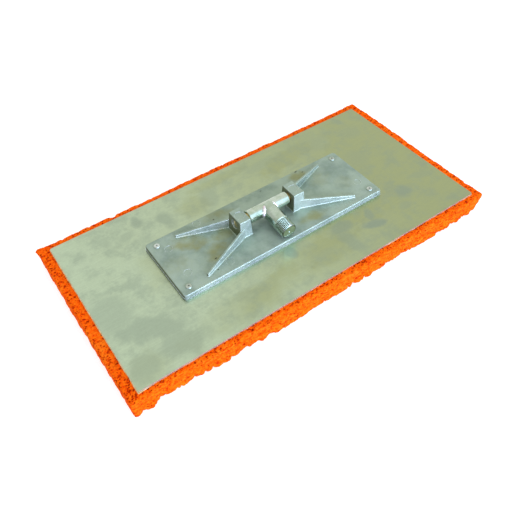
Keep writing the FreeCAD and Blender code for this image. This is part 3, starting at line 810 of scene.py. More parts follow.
@dataclass(frozen=True)
class OrangeSponge(Finish):
    """Firm open-cell sponge in vivid orange, with painted shade darker and redder down in its pores."""

    name: str = "open_cell_sponge"
    metallic: float = 0.0
    specular: float = 0.05
    crown: Colour = (1.0, 0.155, 0.002)
    pale: Colour = (1.0, 0.20, 0.008)
    body: Colour = (1.0, 0.09, 0.0)
    # painted shade for the pores
    pore: Colour = (0.40, 0.014, 0.0)

    def shade(self, graph: Graph, shader: bpy.types.Node) -> None:
        """Paint shade by the pore depth stored on the points, and add the small pores as specks of painted
        shade with a bump.
        """
        place = graph.place()
        depth = graph.mark("pore")
        torn = graph.mark("torn")
        mottle = graph.noise(place, 300.0, 4.0, 0.65)
        drawn = graph.noise(graph.stretch(place, (0.4, 0.4, 1.4)), 420.0, 3.0, 0.6)
        cells = graph.cells(place, 800.0)
        _, _, up = graph.normal_parts()
        # the small pores' painted shade is weaker on faces that face up or down
        seen_deep = graph.ramp(graph.maths("ABSOLUTE", up), 0.3, 0.9, 1.0, 0.55)
        openings = graph.maths("MULTIPLY", self.small_pores(graph, place), seen_deep)
        colour = graph.coats(
            self.body,
            (graph.ramp(mottle, 0.36, 0.62), self.crown),
            (graph.ramp(torn, 0.5, 1.0, 0.0, 0.7), self.pale),
            (graph.ramp(drawn, 0.56, 0.66, 0.0, 0.6), self.pale),
            (graph.ramp(drawn, 0.48, 0.40, 0.0, 0.85), self.body),
            (graph.ramp(drawn, 0.42, 0.34, 0.0, 0.85), self.pore),
            # painted shade in the hollows of the small cells
            (graph.ramp(cells, 0.26, 0.04, 0.0, 0.5), self.body),
            # painted shade in the small pores
            (graph.share(openings, 0.62), self.pore),
            # painted shade down in the deep pores, by their depth
            (graph.ramp(depth, 0.2, 0.85, 0.0, 0.85), self.pore),
        )
        height = graph.maths("ADD", graph.ramp(cells, 0.0, 0.5, 0.0, 0.5), graph.share(mottle, 0.8))
        height = graph.maths("SUBTRACT", height, openings)
        graph.cover(shader, colour, 0.9, graph.bump(height, 0.7 * MM, 0.8))

    def small_pores(self, graph: Graph, place: Feed) -> Feed:
        """Uneven specks about a millimetre across, crowded in some places and rare in others."""
        warp = graph.add("TexNoise", {"Vector": place, "Scale": 500.0, "Detail": 1.0}).outputs["Color"]
        shake = graph.add("VectorMath", {0: warp, "Scale": 1.4 * MM}, operation="SCALE").outputs[0]
        shaken = graph.add("VectorMath", {0: place, 1: shake}, operation="ADD").outputs[0]
        near = graph.cells(graph.stretch(shaken, (0.8, 0.8, 1.25)), 360.0)
        x, _, _ = graph.parts(place)
        crowded = graph.maths("ADD", graph.noise(place, 60.0, 3.0), graph.ramp(x, 0.0, 0.24, 0.0, 0.15))
        size = graph.ramp(crowded, 0.3, 0.75, 0.22, 0.46)
        return graph.ramp(graph.maths("DIVIDE", near, size), 1.0, 0.6)


@dataclass(frozen=True)
class DriedGlue(Finish):
    """Contact glue that has dried cream, yellow where it is thin."""

    name: str = "dried_contact_glue"
    metallic: float = 0.0
    thick: Colour = (0.78, 0.66, 0.36)
    thin: Colour = (0.58, 0.40, 0.12)

    def shade(self, graph: Graph, shader: bpy.types.Node) -> None:
        """Blend the two tones and give it a skin."""
        place = graph.place()
        clouds = graph.noise(place, 180.0, 4.0, 0.6)
        colour = graph.blend(graph.ramp(clouds, 0.35, 0.65), self.thin, self.thick)
        rough = graph.ramp(clouds, 0.3, 0.7, 0.38, 0.6)
        graph.cover(shader, colour, rough, graph.bump(clouds, 0.3 * MM, 0.6))


@dataclass(frozen=True)
class RivetAlloy(PlatedSteel):
    """Rolled aluminium of the rivet bodies."""

    name: str = "rolled_rivet_alloy"
    bright: Colour = (0.60, 0.66, 0.62)
    cast: Colour = (0.38, 0.44, 0.36)
    roughness: float = 0.3


@dataclass(frozen=True)
class MandrelSteel(PlatedSteel):
    """Drawn steel of the rivets' mandrels, dull where it broke."""

    name: str = "broken_mandrel_steel"
    bright: Colour = (0.30, 0.32, 0.29)
    cast: Colour = (0.14, 0.15, 0.12)
    roughness: float = 0.45


@dataclass(frozen=True)
class YellowZinc(PlatedSteel):
    """Yellow-passivated zinc on the pivot pin, with a very dark cast that also stands as painted shade where
    the pin shows in the gaps beside the tube.
    """

    name: str = "yellow_zinc_plating"
    bright: Colour = (0.66, 0.50, 0.19)
    # the very dark cast is also painted shade where the pin shows in the gaps beside the tube
    cast: Colour = (0.24, 0.18, 0.07)
    roughness: float = 0.34


@dataclass(frozen=True)
class PaleFloor(Finish):
    """Matt white paper.

    Attributes:
        paper: How much light the paper sends back.
        glow: How strongly it shines by itself, so that it stays white.
    """

    name: str = "pale_floor"
    metallic: float = 0.0
    specular: float = 0.1
    paper: float = 0.62
    glow: float = 0.6

    def shade(self, graph: Graph, shader: bpy.types.Node) -> None:
        """One even white."""
        shader.inputs["Base Color"].default_value = (self.paper, self.paper, self.paper, 1.0)
        shader.inputs["Roughness"].default_value = 0.9
        shader.inputs["Emission Color"].default_value = (*WHITE, 1.0)
        shader.inputs["Emission Strength"].default_value = self.glow


def frame_top(node: str) -> float:
    """The height of a frame piece's highest point."""
    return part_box(node)[1][2]


# ------------------------------------------------------------ pad and glue


@dataclass(frozen=True)
class Knob:
    """A place where the sponge stands out in a lump, or is torn away.

    Attributes:
        x: Its middle along X, in millimetres.
        y: Its middle along Y, in millimetres.
        z: Its height, in millimetres.
        reach: How far it spreads, in millimetres.
        push: How far it stands out, in millimetres; below 0 it is torn away.
    """

    x: float
    y: float
    z: float
    reach: float
    push: float

    def lift(self, mm: np.ndarray) -> np.ndarray:
        """The outward push at each point: a bell over the distance from the middle."""
        away = np.linalg.norm(mm - (self.x, self.y, self.z), axis=1) / self.reach
        return self.push * np.exp(-(away**2))


@dataclass
class SpongePad:
    """The sponge pad: a dense closed skin with torn sides, open pores and a flat working face.

    Attributes:
        node: The frame's plain solid that it stands for.
        grain: Spacing of the skin's points.
        corner: Radius of the upright corners.
        margin: Width of the finely made strip along the top.
        edge: Radius round the top and bottom edges.
        core: How far the inner core rectangle of the plan stands in from the sides.
        trims: How far the left, right, front and back sides stand in from the plain solid.
        knobs: Where it stands out in a lump, or is torn away.
        finish: What it is covered with.
    """

    node: str = "sponge_pad"
    grain: float = 0.9 * MM
    corner: float = 3.5 * MM
    margin: float = 20.0 * MM
    edge: float = 2.2 * MM
    core: float = 24.0 * MM
    trims: tuple[float, float, float, float] = (-2.0 * MM, -0.6 * MM, 0.4 * MM, -3.2 * MM)
    knobs: tuple[Knob, ...] = (
        Knob(-258, -129, 12, 7, 0.8), Knob(-236, -130, 4, 5, 3.0), Knob(-224, -130, 3, 4, -3.0),
        Knob(-247, -130, 2, 3, -2.5), Knob(-205, -129, 0, 50, -3.4), Knob(-156, 130, 25, 4, -7.0),
        Knob(-260, 127, 25, 2.2, 4.0), Knob(-255, 131, 25, 2.0, 4.0), Knob(-258, 129, 22, 6, 1.8),
        Knob(258, -129, 24, 9, 1.0), Knob(256, -129, 2, 12, -4.0), Knob(258, 129, 22, 6, 1.5),
        Knob(258, 80, 14, 60, 2.2), Knob(-120, -130, 2, 5, -2.4), Knob(40, -130, 2, 6, -2.2),
    )
    finish: Finish = field(default_factory=OrangeSponge)

    def __post_init__(self) -> None:
        """Take the pad's box from the frame."""
        low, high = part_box(self.node)
        self.half = np.array([high[0] - low[0], high[1] - low[1]]) / 2
        self.height = high[2] - low[2]
        self.counts = np.round(2 * self.half / self.grain).astype(int)

    def plan(self, square: np.ndarray, inset: float) -> tuple[np.ndarray, np.ndarray, np.ndarray]:
        """Carry points of a square-cornered plan to the pad's rounded plan.

        A point is split into the nearest point of an inner core rectangle and an arm from there. The arm
        keeps its direction and its share of the way out, where the whole way is the distance along that
        direction to the rounded outline, less the inset.

        Args:
            square: Points of the square-cornered plan, as an array that ends in 2.
            inset: How far the outermost points stand in from the outline.

        Returns:
            The points on the rounded plan, the level outward directions there, and the shares of the way out.
        """
        inner = self.half - self.core
        core = np.clip(square, -inner, inner)
        arm = square - core
        share = np.abs(arm).max(axis=-1) / self.core
        length = np.linalg.norm(arm, axis=-1)
        safe = np.where(length > 0, length, 1.0)
        way = arm / safe[..., None]
        steep = np.abs(way)
        straight = self.core / np.maximum(steep.max(axis=-1), 1e-9)
        centre = self.core - self.corner
        along = centre * steep.sum(axis=-1)
        inside = np.maximum(along**2 - (2 * centre**2 - self.corner**2), 0)
        reach = np.where(straight * steep.min(axis=-1) > centre, along + np.sqrt(inside), straight)
        return core + way * ((reach - inset) * share)[..., None], way, share

    def rim(self) -> tuple[np.ndarray, np.ndarray]:
        """The grid indices of the plan's border, anticlockwise from its low corner."""
        nx, ny = self.counts
        i = np.concatenate([np.arange(nx), np.full(ny, nx), np.arange(nx, 0, -1), np.zeros(ny, int)])
        j = np.concatenate([np.zeros(nx, int), np.arange(ny), np.full(nx, ny), np.arange(ny, 0, -1)])
        return i, j

    def profile(self) -> np.ndarray:
        """The side's profile from the top margin over the two rounded edges to the bottom.

        Returns:
            Rows of inset, height, and the outward and upward parts of the direction there.
        """
        r, top = self.edge, self.height
        strip = np.arange(self.margin, r + 0.3 * self.grain, -self.grain)[:, None]
        level = strip * (1, 0, 0, 0) + (0, top, 0, 1)
        turn = np.radians(np.array([75.0, 50.0, 25.0]))
        out, up = np.cos(turn), np.sin(turn)
        upper = np.stack([r - r * out, top - r + r * up, out, up], axis=-1)
        rise = np.linspace(top - r, r, max(int((top - 2 * r) / self.grain), 4))[:, None]
        wall = rise * (0, 1, 0, 0) + (0, 0, 1, 0)
        lower = upper[::-1] * (1, -1, 1, -1) + (0, top, 0, 0)
        return np.vstack([level, upper, wall, lower])

    def displace(
        self, points: np.ndarray, out: np.ndarray, way: np.ndarray, loose: np.ndarray
    ) -> tuple[np.ndarray, dict[str, np.ndarray]]:
        """Tear, wave and pit the smooth skin.

        The border wanders in and out by a slow field, a quick one and one that is drawn into level ledges.
        Lower down it is torn into lobes: the absolute value of a field, which has round crowns and sharp
        clefts. Everywhere, open cells sink as round pits whose depth falls with the distance from their
        middle.

        Args:
            points: The smooth skin.
            out: The outward direction at each point.
            way: The level direction towards the border.
            loose: 1 on the border, falling to 0 further in.

        Returns:
            The displaced skin, and the marks for its finish.
        """
        mm = points / MM
        z = mm[:, 2]
        top = self.height / MM
        slow = layered_field(mm / (45, 45, 90), 2, 11)
        quick = layered_field(mm / (9, 9, 8), 2, 21)
        ledges = layered_field(mm / (11, 11, 2.4), 3, 31)
        lobes = np.abs(layered_field(mm / (12, 12, 60), 2, 41))
        lower = smooth_step(z, 0.6 * top, 0.0)
        rough = 1 - 0.6 * smooth_step(-way[:, 0], 0.5, 0.9)
        away = slow * 0.8 + (quick * 1.5 + ledges * 1.3) * rough - 0.8
        away += lower * rough * (np.minimum(lobes, 0.4) * 6.0 - 0.8)
        away += sum(knob.lift(mm) for knob in self.knobs)
        side = (loose * away * MM)[:, None] * way

        warped = mm + np.stack([quick, ledges, quick - ledges], axis=-1) * 0.8
        wide, wide_own = cell_field(warped / (3.4, 3.4, 2.6), 51)
        pit = np.clip(1 - (wide / (0.16 + 0.34 * wide_own)) ** 2, 0, 1) * (wide_own > 0.3)
        small, small_own = cell_field(mm / (2.4, 2.4, 2.1), 71)
        fine = np.clip(1 - (small / (0.25 + 0.3 * small_own)) ** 2, 0, 1)
        depth = (np.sqrt(pit) * 1.9 + fine * 0.7) * MM
        bumps = layered_field(mm / 3.0, 2, 91) * 0.5 * MM

        moved = points + out * (np.minimum(bumps, 0.0) - depth)[:, None]
        moved[:, :2] += side + self.trim(points)
        hem = lower * loose**2 * rough * np.clip(2.4 - lobes * 16.0, 0, 2.4) * MM
        moved[:, 2] = np.clip(moved[:, 2] + hem, 0.0, self.height)
        marks = {
            "pore": np.clip(np.maximum(pit * 1.3, fine * 0.5), 0, 1),
            "torn": np.clip(0.5 + ledges * 0.8 + quick * 0.3, 0, 1),
        }
        return moved, marks

    def trim(self, points: np.ndarray) -> np.ndarray:
        """Draw the sides in by the trims, with full effect at the border and none under the sheet."""
        shift = np.zeros((len(points), 2))
        for axis, low_trim, high_trim in ((0, *self.trims[:2]), (1, *self.trims[2:])):
            place, half = points[:, axis], self.half[axis]
            shift[:, axis] += low_trim * smooth_step(place, self.margin - half, -half)
            shift[:, axis] -= high_trim * smooth_step(place, half - self.margin, half)
        return shift

    def surface(self) -> Surface:
        """Work out the whole skin.

        The working face is a grid of points. Rings of the side's profile climb from its border over the side
        to the top margin, and the last ring closes on a spine that the sheet hides.
        """
        nx, ny = self.counts
        xs = np.linspace(-self.half[0], self.half[0], nx + 1)
        ys = np.linspace(-self.half[1], self.half[1], ny + 1)
        flat = np.stack(np.meshgrid(xs, ys, indexing="xy"), axis=-1).reshape(-1, 2)
        face, face_way, share = self.plan(flat, self.edge)
        face = np.column_stack([face, np.zeros(len(face))])
        face_out = np.tile([0.0, 0.0, -1.0], (len(face), 1))
        rim_i, rim_j = self.rim()
        rim_index = rim_j * (nx + 1) + rim_i
        border = np.stack([xs[rim_i], ys[rim_j]], axis=-1)

        rows = self.profile()[::-1]
        around = len(border)
        rings, outs, ways = [face], [face_out], [face_way]
        loose = [smooth_step(share, 0.5, 1.0)]
        for inset, height, outward, upward in rows:
            ring, way, _ = self.plan(border, inset)
            rings.append(np.column_stack([ring, np.full(around, height)]))
            outs.append(np.column_stack([way * outward, np.full(around, upward)]))
            ways.append(way)
            loose.append(smooth_step(np.full(around, inset), 0.6 * self.margin, self.edge))
        stacks = (np.vstack(rings), np.vstack(outs), np.vstack(ways))
        moved, marks = self.displace(*stacks, np.concatenate(loose))

        first = len(face)
        spine_half = self.half[0] - self.half[1]
        last_ring = first + (len(rows) - 1) * around
        spine_x = np.clip(moved[last_ring:last_ring + around, 0], -spine_half, spine_half)
        spine = np.column_stack([spine_x, np.zeros(around), np.full(around, self.height - 1.0 * MM)])
        moved = np.vstack([moved, spine])
        marks = {key: np.concatenate([values, np.zeros(around)]) for key, values in marks.items()}

        base = grid_quads(ny + 1, nx + 1)[:, ::-1]
        strip = grid_quads(len(rows) + 1, around, True) + first
        here = np.arange(around)
        after = (here + 1) % around
        hem = np.stack([rim_index, rim_index[after], first + after, first + here], axis=-1)
        return Surface(moved, np.vstack([base, hem, strip]), marks=marks)

    def build(self) -> bpy.types.Object:
        """Make the pad, in place of the frame's plain solid."""
        piece = add_piece("torn_sponge_pad", self.surface(), self.finish, Body.FLOAT)
        weld_doubles(piece)
        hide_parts(self.node)
        return piece


def weld_doubles(piece: bpy.types.Object) -> None:
    """Merge points that share a place, so that a seam or a spine is closed."""
    mesh = bmesh.new()
    mesh.from_mesh(piece.data)
    bmesh.ops.remove_doubles(mesh, verts=mesh.verts, dist=0.002 * MM)
    mesh.to_mesh(piece.data)
    mesh.free()


@dataclass
class GlueLine:
    """Glue squeezed out along the sheet's underside, thick in places and missing in others.

    Attributes:
        step: Distance between sections.
        radius: The bead's radius where the random field asks for all of it.
        around: Points in a section.
        outside: How far the bead's middle lies outside the sheet.
        under: How far its middle lies under the sheet's lower face.
        height: The section's height, as a share of its width.
        lump: Size of the random field's bumps.
        bank: Width of the strips at the left and the back that hold more glue.
        finish: What it is covered with.
    """

    step: float = 1.6 * MM
    radius: float = 0.75 * MM
    around: int = 8
    outside: float = 0.1 * MM
    under: float = 0.35 * MM
    height: float = 0.62
    lump: float = 14 * MM
    bank: float = 30 * MM
    finish: Finish = field(default_factory=DriedGlue)

    def surface(self) -> Surface:
        """A thin bead carried round the sheet's border, its radius following a random field."""
        low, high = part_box("backing_sheet")
        half_x, half_y = high[0] + self.outside, high[1] + self.outside
        corners = [(-half_x, -half_y), (half_x, -half_y), (half_x, half_y), (-half_x, half_y)]
        runs = []
        for start, end in zip(corners, corners[1:] + corners[:1]):
            count = int(math.dist(start, end) / self.step)
            share = np.arange(count)[:, None] / count
            runs.append(np.array(start) * (1 - share) + np.array(end) * share)
        path = np.vstack(runs)
        centre = np.column_stack([path, np.full(len(path), low[2] - self.under)])
        ahead = np.roll(centre, -1, axis=0) - np.roll(centre, 1, axis=0)
        ahead /= np.linalg.norm(ahead, axis=1)[:, None]
        outward = np.cross(ahead, (0.0, 0.0, 1.0))
        thick = layered_field(centre / self.lump, 3, 5)
        left = smooth_step(centre[:, 0], low[0] + self.bank, low[0])
        back = smooth_step(centre[:, 1], high[1] - self.bank, high[1])
        back *= smooth_step(centre[:, 0], 0.1, low[0])
        size = self.radius * np.clip(0.9 * thick + 1.2 * np.maximum(left, 0.8 * back), 0.12, 1.8)
        angle = circle_angles(self.around)
        rise = np.array([0, 0, self.height])
        ring = outward[:, None] * np.cos(angle)[:, None] + rise * np.sin(angle)[:, None]
        points = centre[:, None] + ring * size[:, None, None]
        count = len(centre)
        closed = np.concatenate([points, points[:1]])
        faces = grid_quads(count + 1, self.around, True) % (count * self.around)
        return Surface(closed[:count].reshape(-1, 3), faces)

    def build(self) -> bpy.types.Object:
        """Make the glue line."""
        return add_piece("squeezed_glue", self.surface(), self.finish, Body.FLOAT)


# ------------------------------------------------------------ stem and welds


@dataclass
class StemFrame:
    """The stem's own directions, from the frame: along the stem, across it and up from it.

    Attributes:
        pivot: A point on the swivel axis, in the middle of the float.
        droop: The stem's angle below level.
    """

    pivot: np.ndarray = field(default_factory=lambda: np.array(frame["joints"][0]["pos_m"], float))

    def __post_init__(self) -> None:
        """Take the droop from the joint's range, which is a half turn less twice the droop."""
        self.droop = math.radians(180.0 - frame["joints"][0]["range_deg"][1]) / 2
        self.along = np.array([0.0, -math.cos(self.droop), -math.sin(self.droop)])
        self.across = np.array([1.0, 0.0, 0.0])
        self.up = np.cross(self.across, -self.along)

    def to_frame(self, across: np.ndarray, along: np.ndarray, up: np.ndarray) -> np.ndarray:
        """Carry points from the stem's directions to the frame's."""
        parts = across[..., None] * self.across + along[..., None] * self.along + up[..., None] * self.up
        return self.pivot + parts


@dataclass
class ThreadedStem:
    """The stem with its pipe thread really cut: a helix of 14 turns to the inch with rounded crests.

    Attributes:
        shank: Radius of the plain part.
        crest: Radius over the thread.
        cut: Depth of the thread.
        pitch: Distance between turns.
        length: Swivel axis to the stem's end.
        threaded: Length of the threaded part.
        runout: Length over which the thread fades in.
        chamfer: Depth of the chamfer at the stem's end.
        tube: Radius of the swivel tube that the root sits on.
        ear: How far the root passes the swivel axis above and below the tube.
        mark: Radius and depth of the turned centre in the end face.
        around: Points round the stem.
        finish: What it is covered with.
    """

    shank: float = SHANK_RADIUS
    crest: float = 10.4775 * MM
    cut: float = 1.16 * MM
    pitch: float = 25.4 / 14 * MM
    length: float = 46.5 * MM
    threaded: float = 17.0 * MM
    runout: float = 2.2 * MM
    chamfer: float = 1.15 * MM
    tube: float = TUBE_RADIUS
    ear: float = 0.8 * MM
    mark: float = 1.2 * MM
    around: int = 144
    finish: Finish = field(default_factory=CutThreadPlating)

    def radius(self, angle: np.ndarray, along: np.ndarray) -> np.ndarray:
        """The skin's radius at an angle round the stem and a distance along it.

        The thread is a rounded triangle wave of the distance in pitches less the angle in turns. It fades in
        over the run-out, and the end chamfer cuts across it.
        """
        phase = along / self.pitch - angle / (2 * math.pi)
        wave = np.abs(2 * (phase - np.floor(phase)) - 1)
        wave = smooth_step(wave, 0.10, 0.90) * 0.45 + np.clip((wave - 0.14) / 0.72, 0, 1) * 0.55
        start = self.length - self.threaded
        begun = smooth_step(along, start - 0.4 * MM, start + self.runout)
        outer = self.shank + (self.crest - self.shank) * smooth_step(along, start - 0.5 * MM, start)
        skin = outer - begun * self.cut * (1 - wave)
        cone = self.crest - self.chamfer + (self.length - along)
        return np.minimum(skin, cone)

    def surface(self, place: StemFrame) -> Surface:
        """Work out the stem: a coped root, the plain part, the thread and the end face.

        Rows of points run along the stem; the first follow the cope, where the stem meets the tube: the
        distance along is the tube's half chord at that height, or short of the axis above and below the tube.
        """
        angle = circle_angles(self.around)
        height = self.shank * np.sin(angle)
        chord = np.sqrt(np.maximum(self.tube**2 - height**2, 0))
        root = np.where(np.abs(height) < self.tube, chord, -self.ear)
        start = self.length - self.threaded
        plain = np.linspace(0, 1, 14)[:, None] * (start - 0.6 * MM - root) + root
        fine = np.arange(start - 0.5 * MM, self.length, self.pitch / 14)
        fine = np.append(fine, self.length)[:, None] + np.zeros(self.around)
        along = np.vstack([plain, fine])
        turn = np.broadcast_to(angle, along.shape)
        radius = self.radius(turn, along)

        shares = np.array([0.86, 0.6, 0.34])
        face = [np.full(self.around, radius[-1].min()) * share for share in shares]
        face.append(np.full(self.around, self.mark))
        for ring in face:
            radius = np.vstack([radius, ring])
            along = np.vstack([along, np.full(self.around, self.length)])
        radius = np.vstack([radius, np.full(self.around, 0.15 * MM)])
        along = np.vstack([along, np.full(self.around, self.length - self.mark)])

        inward = np.array([0.8, 0.6, 0.4, 0.2])[:, None] * self.shank + np.zeros(self.around)
        low = np.abs(inward * np.sin(angle))
        floor = np.where(low < self.tube, np.sqrt(np.maximum(self.tube**2 - low**2, 0)), -self.ear)
        radius = np.vstack([inward[::-1], radius])
        along = np.vstack([floor[::-1], along])
        turn = np.broadcast_to(angle, along.shape)
        rings = place.to_frame(radius * np.cos(turn), along, radius * np.sin(turn))
        made = tube_surface(rings[:, ::-1])
        crest = np.where(along > start, 1 - (self.crest - radius) / self.cut, 1.0)
        crest[-5:] = 1.0
        made.marks = {"crest": np.concatenate([crest[:, ::-1].ravel(), [1.0, 1.0]])}
        return made

    def build(self, place: StemFrame) -> bpy.types.Object:
        """Make the stem, in place of the frame's plain one."""
        shape = self.surface(place)
        piece = add_piece("cut_threaded_stem", shape, self.finish, Body.STEM)
        piece.data.set_sharp_from_angle(angle=math.radians(40.0))
        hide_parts("threaded_stem")
        return piece


@dataclass
class WeldBead:
    """A fillet weld on one side of the stem, laid as overlapping ripples along the joint with the tube.

    Attributes:
        side: Which side of the stem.
        thickness: Radius of the bead.
        ripple: Distance between ripples.
        swell: How much thicker the bead is at its fullest place.
        buried: Depth of the section's inner half, as a share of its radius, so that it stays in the wall.
        bow: How far each ripple bows along the joint.
        tube: Radius of the swivel tube.
        shank: Radius of the stem's plain part.
        around: Points in a section.
        rows: Sections along the joint.
        finish: What it is covered with.
    """

    side: Side
    thickness: float = 1.5 * MM
    ripple: float = 1.9 * MM
    swell: float = 0.35
    buried: float = 0.35
    bow: float = 0.3 * MM
    tube: float = TUBE_RADIUS
    shank: float = SHANK_RADIUS
    around: int = 20
    rows: int = 150
    finish: Finish = field(default_factory=WeldMetal)

    def surface(self, place: StemFrame) -> Surface:
        """Carry a round section along the curve where the stem's and the tube's surfaces meet.

        The curve climbs the tube by an angle; its height is the tube's radius times the sine, its distance
        along the stem the radius times the cosine, and its distance across follows from the stem's radius.
        The section's radius swells in the middle, closes at the ends and rises and falls with each ripple.
        """
        share = np.linspace(0, 1, self.rows)
        climb = np.radians(-84.0 + 168.0 * share)
        up = self.tube * np.sin(climb)
        along = self.tube * np.cos(climb)
        across = np.sqrt(self.shank**2 - up**2) * self.side.value
        path = place.to_frame(across, along, up)
        ahead = np.gradient(path, axis=0)
        steps = np.linalg.norm(ahead, axis=1)
        ahead /= steps[:, None]
        travelled = np.cumsum(steps) - steps[0]
        out_tube = np.stack([np.zeros_like(climb), np.cos(climb), np.sin(climb)], axis=-1)
        out_stem = np.stack([across, np.zeros_like(up), up], axis=-1) / self.shank
        outward = out_tube + out_stem
        outward = outward[:, :1] * place.across + outward[:, 1:2] * place.along + outward[:, 2:] * place.up
        outward -= (outward * ahead).sum(axis=1)[:, None] * ahead
        outward /= np.linalg.norm(outward, axis=1)[:, None]
        beside = np.cross(ahead, outward)

        wander = layered_field(path / (5 * MM), 2, 17 + self.side.value)
        beat = travelled / self.ripple + wander * 1.1
        crest = np.abs(np.sin(math.pi * beat)) ** 0.6
        full = np.exp(-(((share - 0.68) / 0.2) ** 2))
        ends = np.sqrt(np.clip(np.minimum(share, 1 - share) * 14, 0, 1))
        size = self.thickness * (0.72 + self.swell * full + 0.16 * wander + 0.13 * crest) * ends
        size = np.maximum(size, 0.02 * MM)
        angle = circle_angles(self.around)
        bow = self.bow * np.cos(angle) ** 2
        bulge = np.cos(angle) * np.where(np.cos(angle) > 0, 1.0, self.buried)
        section = outward[:, None] * bulge[:, None] + beside[:, None] * (1.15 * np.sin(angle))[:, None]
        rings = path[:, None] + section * size[:, None, None] - ahead[:, None] * bow[None, :, None]
        if self.side is Side.LEFT:
            rings = rings[:, ::-1]
        made = tube_surface(rings)
        made.marks = {"crest": np.concatenate([np.repeat(crest, self.around), [1.0, 1.0]])}
        return made

    def build(self, place: StemFrame) -> bpy.types.Object:
        """Make the bead, in place of the frame's plain one."""
        name = f"weld_bead_{self.side.label}"
        piece = add_piece(name, self.surface(place), self.finish, Body.STEM)
        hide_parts(f"weld_{self.side.label}")
        return piece


# ------------------------------------------------------------ sub-assemblies


@dataclass
class PadAssembly:
    """Pad, glue and backing sheet."""

    pad: SpongePad = field(default_factory=SpongePad)
    glue: GlueLine = field(default_factory=GlueLine)

    def build(self) -> None:
        """Make the pad and the glue line, and finish the sheet and the glue layer."""
        self.pad.build()
        self.glue.build()
        dress_node("glue_layer", DriedGlue())
        dress_node("backing_sheet", SheetAlloy())


@dataclass
class BracketAssembly:
    """The casting and the four rivets that hold it to the sheet."""

    def build(self) -> None:
        """Finish the casting and the rivets."""
        dress_node("bracket", CastAlloy())
        for name in frame["nodes"]:
            if name.startswith("rivet_body"):
                dress_node(name, RivetAlloy())
            elif name.startswith("rivet_mandrel"):
                dress_node(name, MandrelSteel())


@dataclass
class SwivelAssembly:
    """The pivot pin, the tube that turns on it, and the welded stem."""

    stem: ThreadedStem = field(default_factory=ThreadedStem)
    welds: tuple[WeldBead, ...] = (
        WeldBead(Side.LEFT, thickness=1.8 * MM, swell=0.6),
        WeldBead(Side.RIGHT, thickness=1.25 * MM, swell=0.1),
    )

    def build(self) -> None:
        """Make the stem and the beads, and finish the pin and the tube."""
        place = StemFrame()
        self.stem.build(place)
        for weld in self.welds:
            weld.build(place)
        dress_node("pivot_pin", YellowZinc())
        dress_node("swivel_tube", PlatedSteel())


# ------------------------------------------------------------ studio


class Flag(Enum):
    """What the flag in front of a lamp does with the pieces it is cut for."""

    SPARES = "EXCLUDE"
    LIGHTS_ONLY = "INCLUDE"


@dataclass
class Lamp:
    """A soft rectangular lamp that faces the float.

    Attributes:
        name: The lamp's name.
        place: Where it stands.
        size: Its width and height.
        power: Its power, in watts.
        colour: Its colour.
        flag: Whether its flag spares some pieces, or lights only those.
        flagged: The pieces that the flag is cut for.
    """

    name: str
    place: tuple[float, float, float]
    size: tuple[float, float]
    power: float
    colour: Colour
    flag: Flag
    flagged: tuple[str, ...]

    def build(self) -> None:
        """Hang the lamp, aim it at the origin and set its flag."""
        data = bpy.data.lights.new(self.name, "AREA")
        data.shape = "RECTANGLE"
        data.size, data.size_y = self.size
        data.energy = self.power
        data.color = self.colour
        lamp = bpy.data.objects.new(self.name, data)
        lamp.location = self.place
        lamp.rotation_euler = (-Vector(self.place)).to_track_quat("-Z", "Y").to_euler()
        bpy.context.scene.collection.objects.link(lamp)
        chosen = bpy.data.collections.new(f"{self.name}_flag")
        for name in self.flagged:
            chosen.objects.link(bpy.data.objects[name])
        for entry in chosen.collection_objects:
            entry.light_linking.link_state = self.flag.value
        lamp.light_linking.receiver_collection = chosen


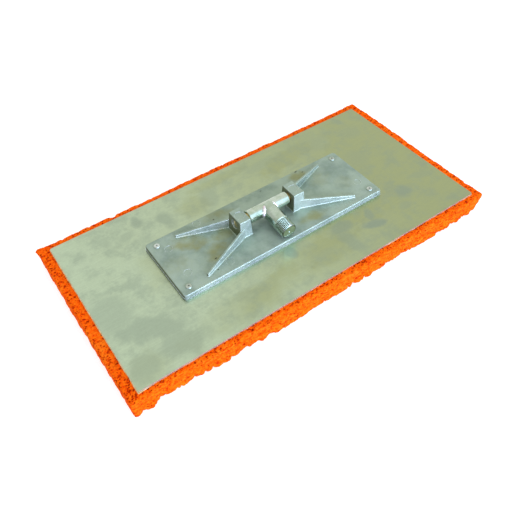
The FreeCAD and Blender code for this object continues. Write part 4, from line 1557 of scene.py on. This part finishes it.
@dataclass
class Studio:
    """A pale floor, a pale sky, soft lamps and the camera.

    Attributes:
        eye: Where the camera stands.
        target: What it looks at.
        roll: How far it is turned about its own view, in degrees.
        lens: Its focal length in millimetres.
        sensor: Its sensor's width in millimetres.
        sky: Strength of the surround.
        front_glow: How much stronger the surround is in front.
        left_shade: How much weaker it is on the left.
        sky_colour: The surround's colour.
        glow_colour: Its colour in front.
        lamps: The lamps.
    """

    eye: tuple[float, float, float] = (-0.2885, -0.4212, 0.5432)
    target: tuple[float, float, float] = (-0.0460, -0.0492, 0.0300)
    roll: float = -2.551
    lens: float = 39.2
    sensor: float = 36.0
    sky: float = 1.0
    front_glow: float = 0.3
    left_shade: float = 0.35
    sky_colour: Colour = (1.0, 1.0, 0.97)
    glow_colour: Colour = (0.82, 0.93, 1.14)
    lamps: tuple[Lamp, ...] = (
        Lamp(
            "front_window", (0.40, -1.5, 0.44), (1.8, 0.9), 32.0, (0.52, 0.70, 1.0),
            Flag.SPARES, ("backing_sheet", "swivel_tube"),
        ),
        Lamp(
            "low_window", (-0.30, -1.5, 0.30), (2.4, 0.7), 54.0, (0.66, 0.58, 1.0),
            Flag.LIGHTS_ONLY, ("bracket", "weld_bead_left", "weld_bead_right"),
        ),
        Lamp(
            "soft_panel", (-0.10, -0.9, 0.68), (1.7, 1.0), 4.6, (0.40, 0.68, 1.0),
            Flag.LIGHTS_ONLY, ("swivel_tube", "cut_threaded_stem"),
        ),
    )

    def build_camera(self) -> None:
        """Stand the camera: its back axis runs from target to eye, then it rolls about that axis."""
        eye, target = Vector(self.eye), Vector(self.target)
        back = (eye - target).normalized()
        right = Vector((0, 0, 1)).cross(back).normalized()
        up = back.cross(right)
        turn = math.radians(self.roll)
        rolled_right = right * math.cos(turn) + up * math.sin(turn)
        rolled_up = up * math.cos(turn) - right * math.sin(turn)
        data = bpy.data.cameras.new("camera")
        data.lens = self.lens
        data.sensor_width = self.sensor
        data.clip_start = 0.01
        camera = bpy.data.objects.new("camera", data)
        axes = Matrix((rolled_right, rolled_up, back)).transposed().to_4x4()
        camera.matrix_world = Matrix.Translation(eye) @ axes
        bpy.context.scene.collection.objects.link(camera)
        bpy.context.scene.camera = camera

    def build_floor(self) -> None:
        """Lay a large pale floor under the pad."""
        reach = 30.0
        corners = np.array([[-reach, -reach, 0], [reach, -reach, 0], [reach, reach, 0], [-reach, reach, 0]])
        mesh = Surface(corners, np.array([[0, 1, 2, 3]])).mesh("floor")
        mesh.materials.append(PaleFloor().material())
        floor = bpy.data.objects.new("floor", mesh)
        bpy.context.scene.collection.objects.link(floor)

    def build_sky(self) -> None:
        """Light everything from a white surround that is brighter in front and dimmer on the left."""
        world = bpy.data.worlds.new("pale_surround")
        world.use_nodes = True
        graph = Graph(world.node_tree)
        x, y, _ = graph.parts(graph.add("TexCoord").outputs["Generated"])
        front = graph.ramp(y, 0.1, -0.9)
        level = graph.maths("MULTIPLY_ADD", front, self.front_glow, self.sky)
        level = graph.maths("SUBTRACT", level, graph.ramp(x, -0.1, -0.9, 0.0, self.left_shade))
        seen = graph.add("LightPath").outputs["Is Camera Ray"]
        colour = graph.blend(front, self.sky_colour, self.glow_colour)
        background = world.node_tree.nodes["Background"]
        graph.feed(background.inputs["Color"], graph.blend(seen, colour, WHITE))
        graph.feed(background.inputs["Strength"], graph.maths("MAXIMUM", level, seen))
        bpy.context.scene.world = world

    def build(self) -> None:
        """Set up the camera, the floor and the surround."""
        self.build_camera()
        self.build_floor()
        self.build_sky()
        bpy.context.scene.view_settings.view_transform = "Standard"

    def hang_lamps(self) -> None:
        """Hang the lamps, once every piece that their flags are cut for is there."""
        for lamp in self.lamps:
            lamp.build()


def main() -> None:
    """Build the studio and every sub-assembly, in order."""
    logging.basicConfig(level=logging.INFO, format="%(name)s: %(message)s")
    studio = Studio()
    studio.build()
    for assembly in (PadAssembly(), BracketAssembly(), SwivelAssembly()):
        assembly.build()
        log.info("%s is built", type(assembly).__name__)
    studio.hang_lamps()


if __name__ == "__main__":
    main()
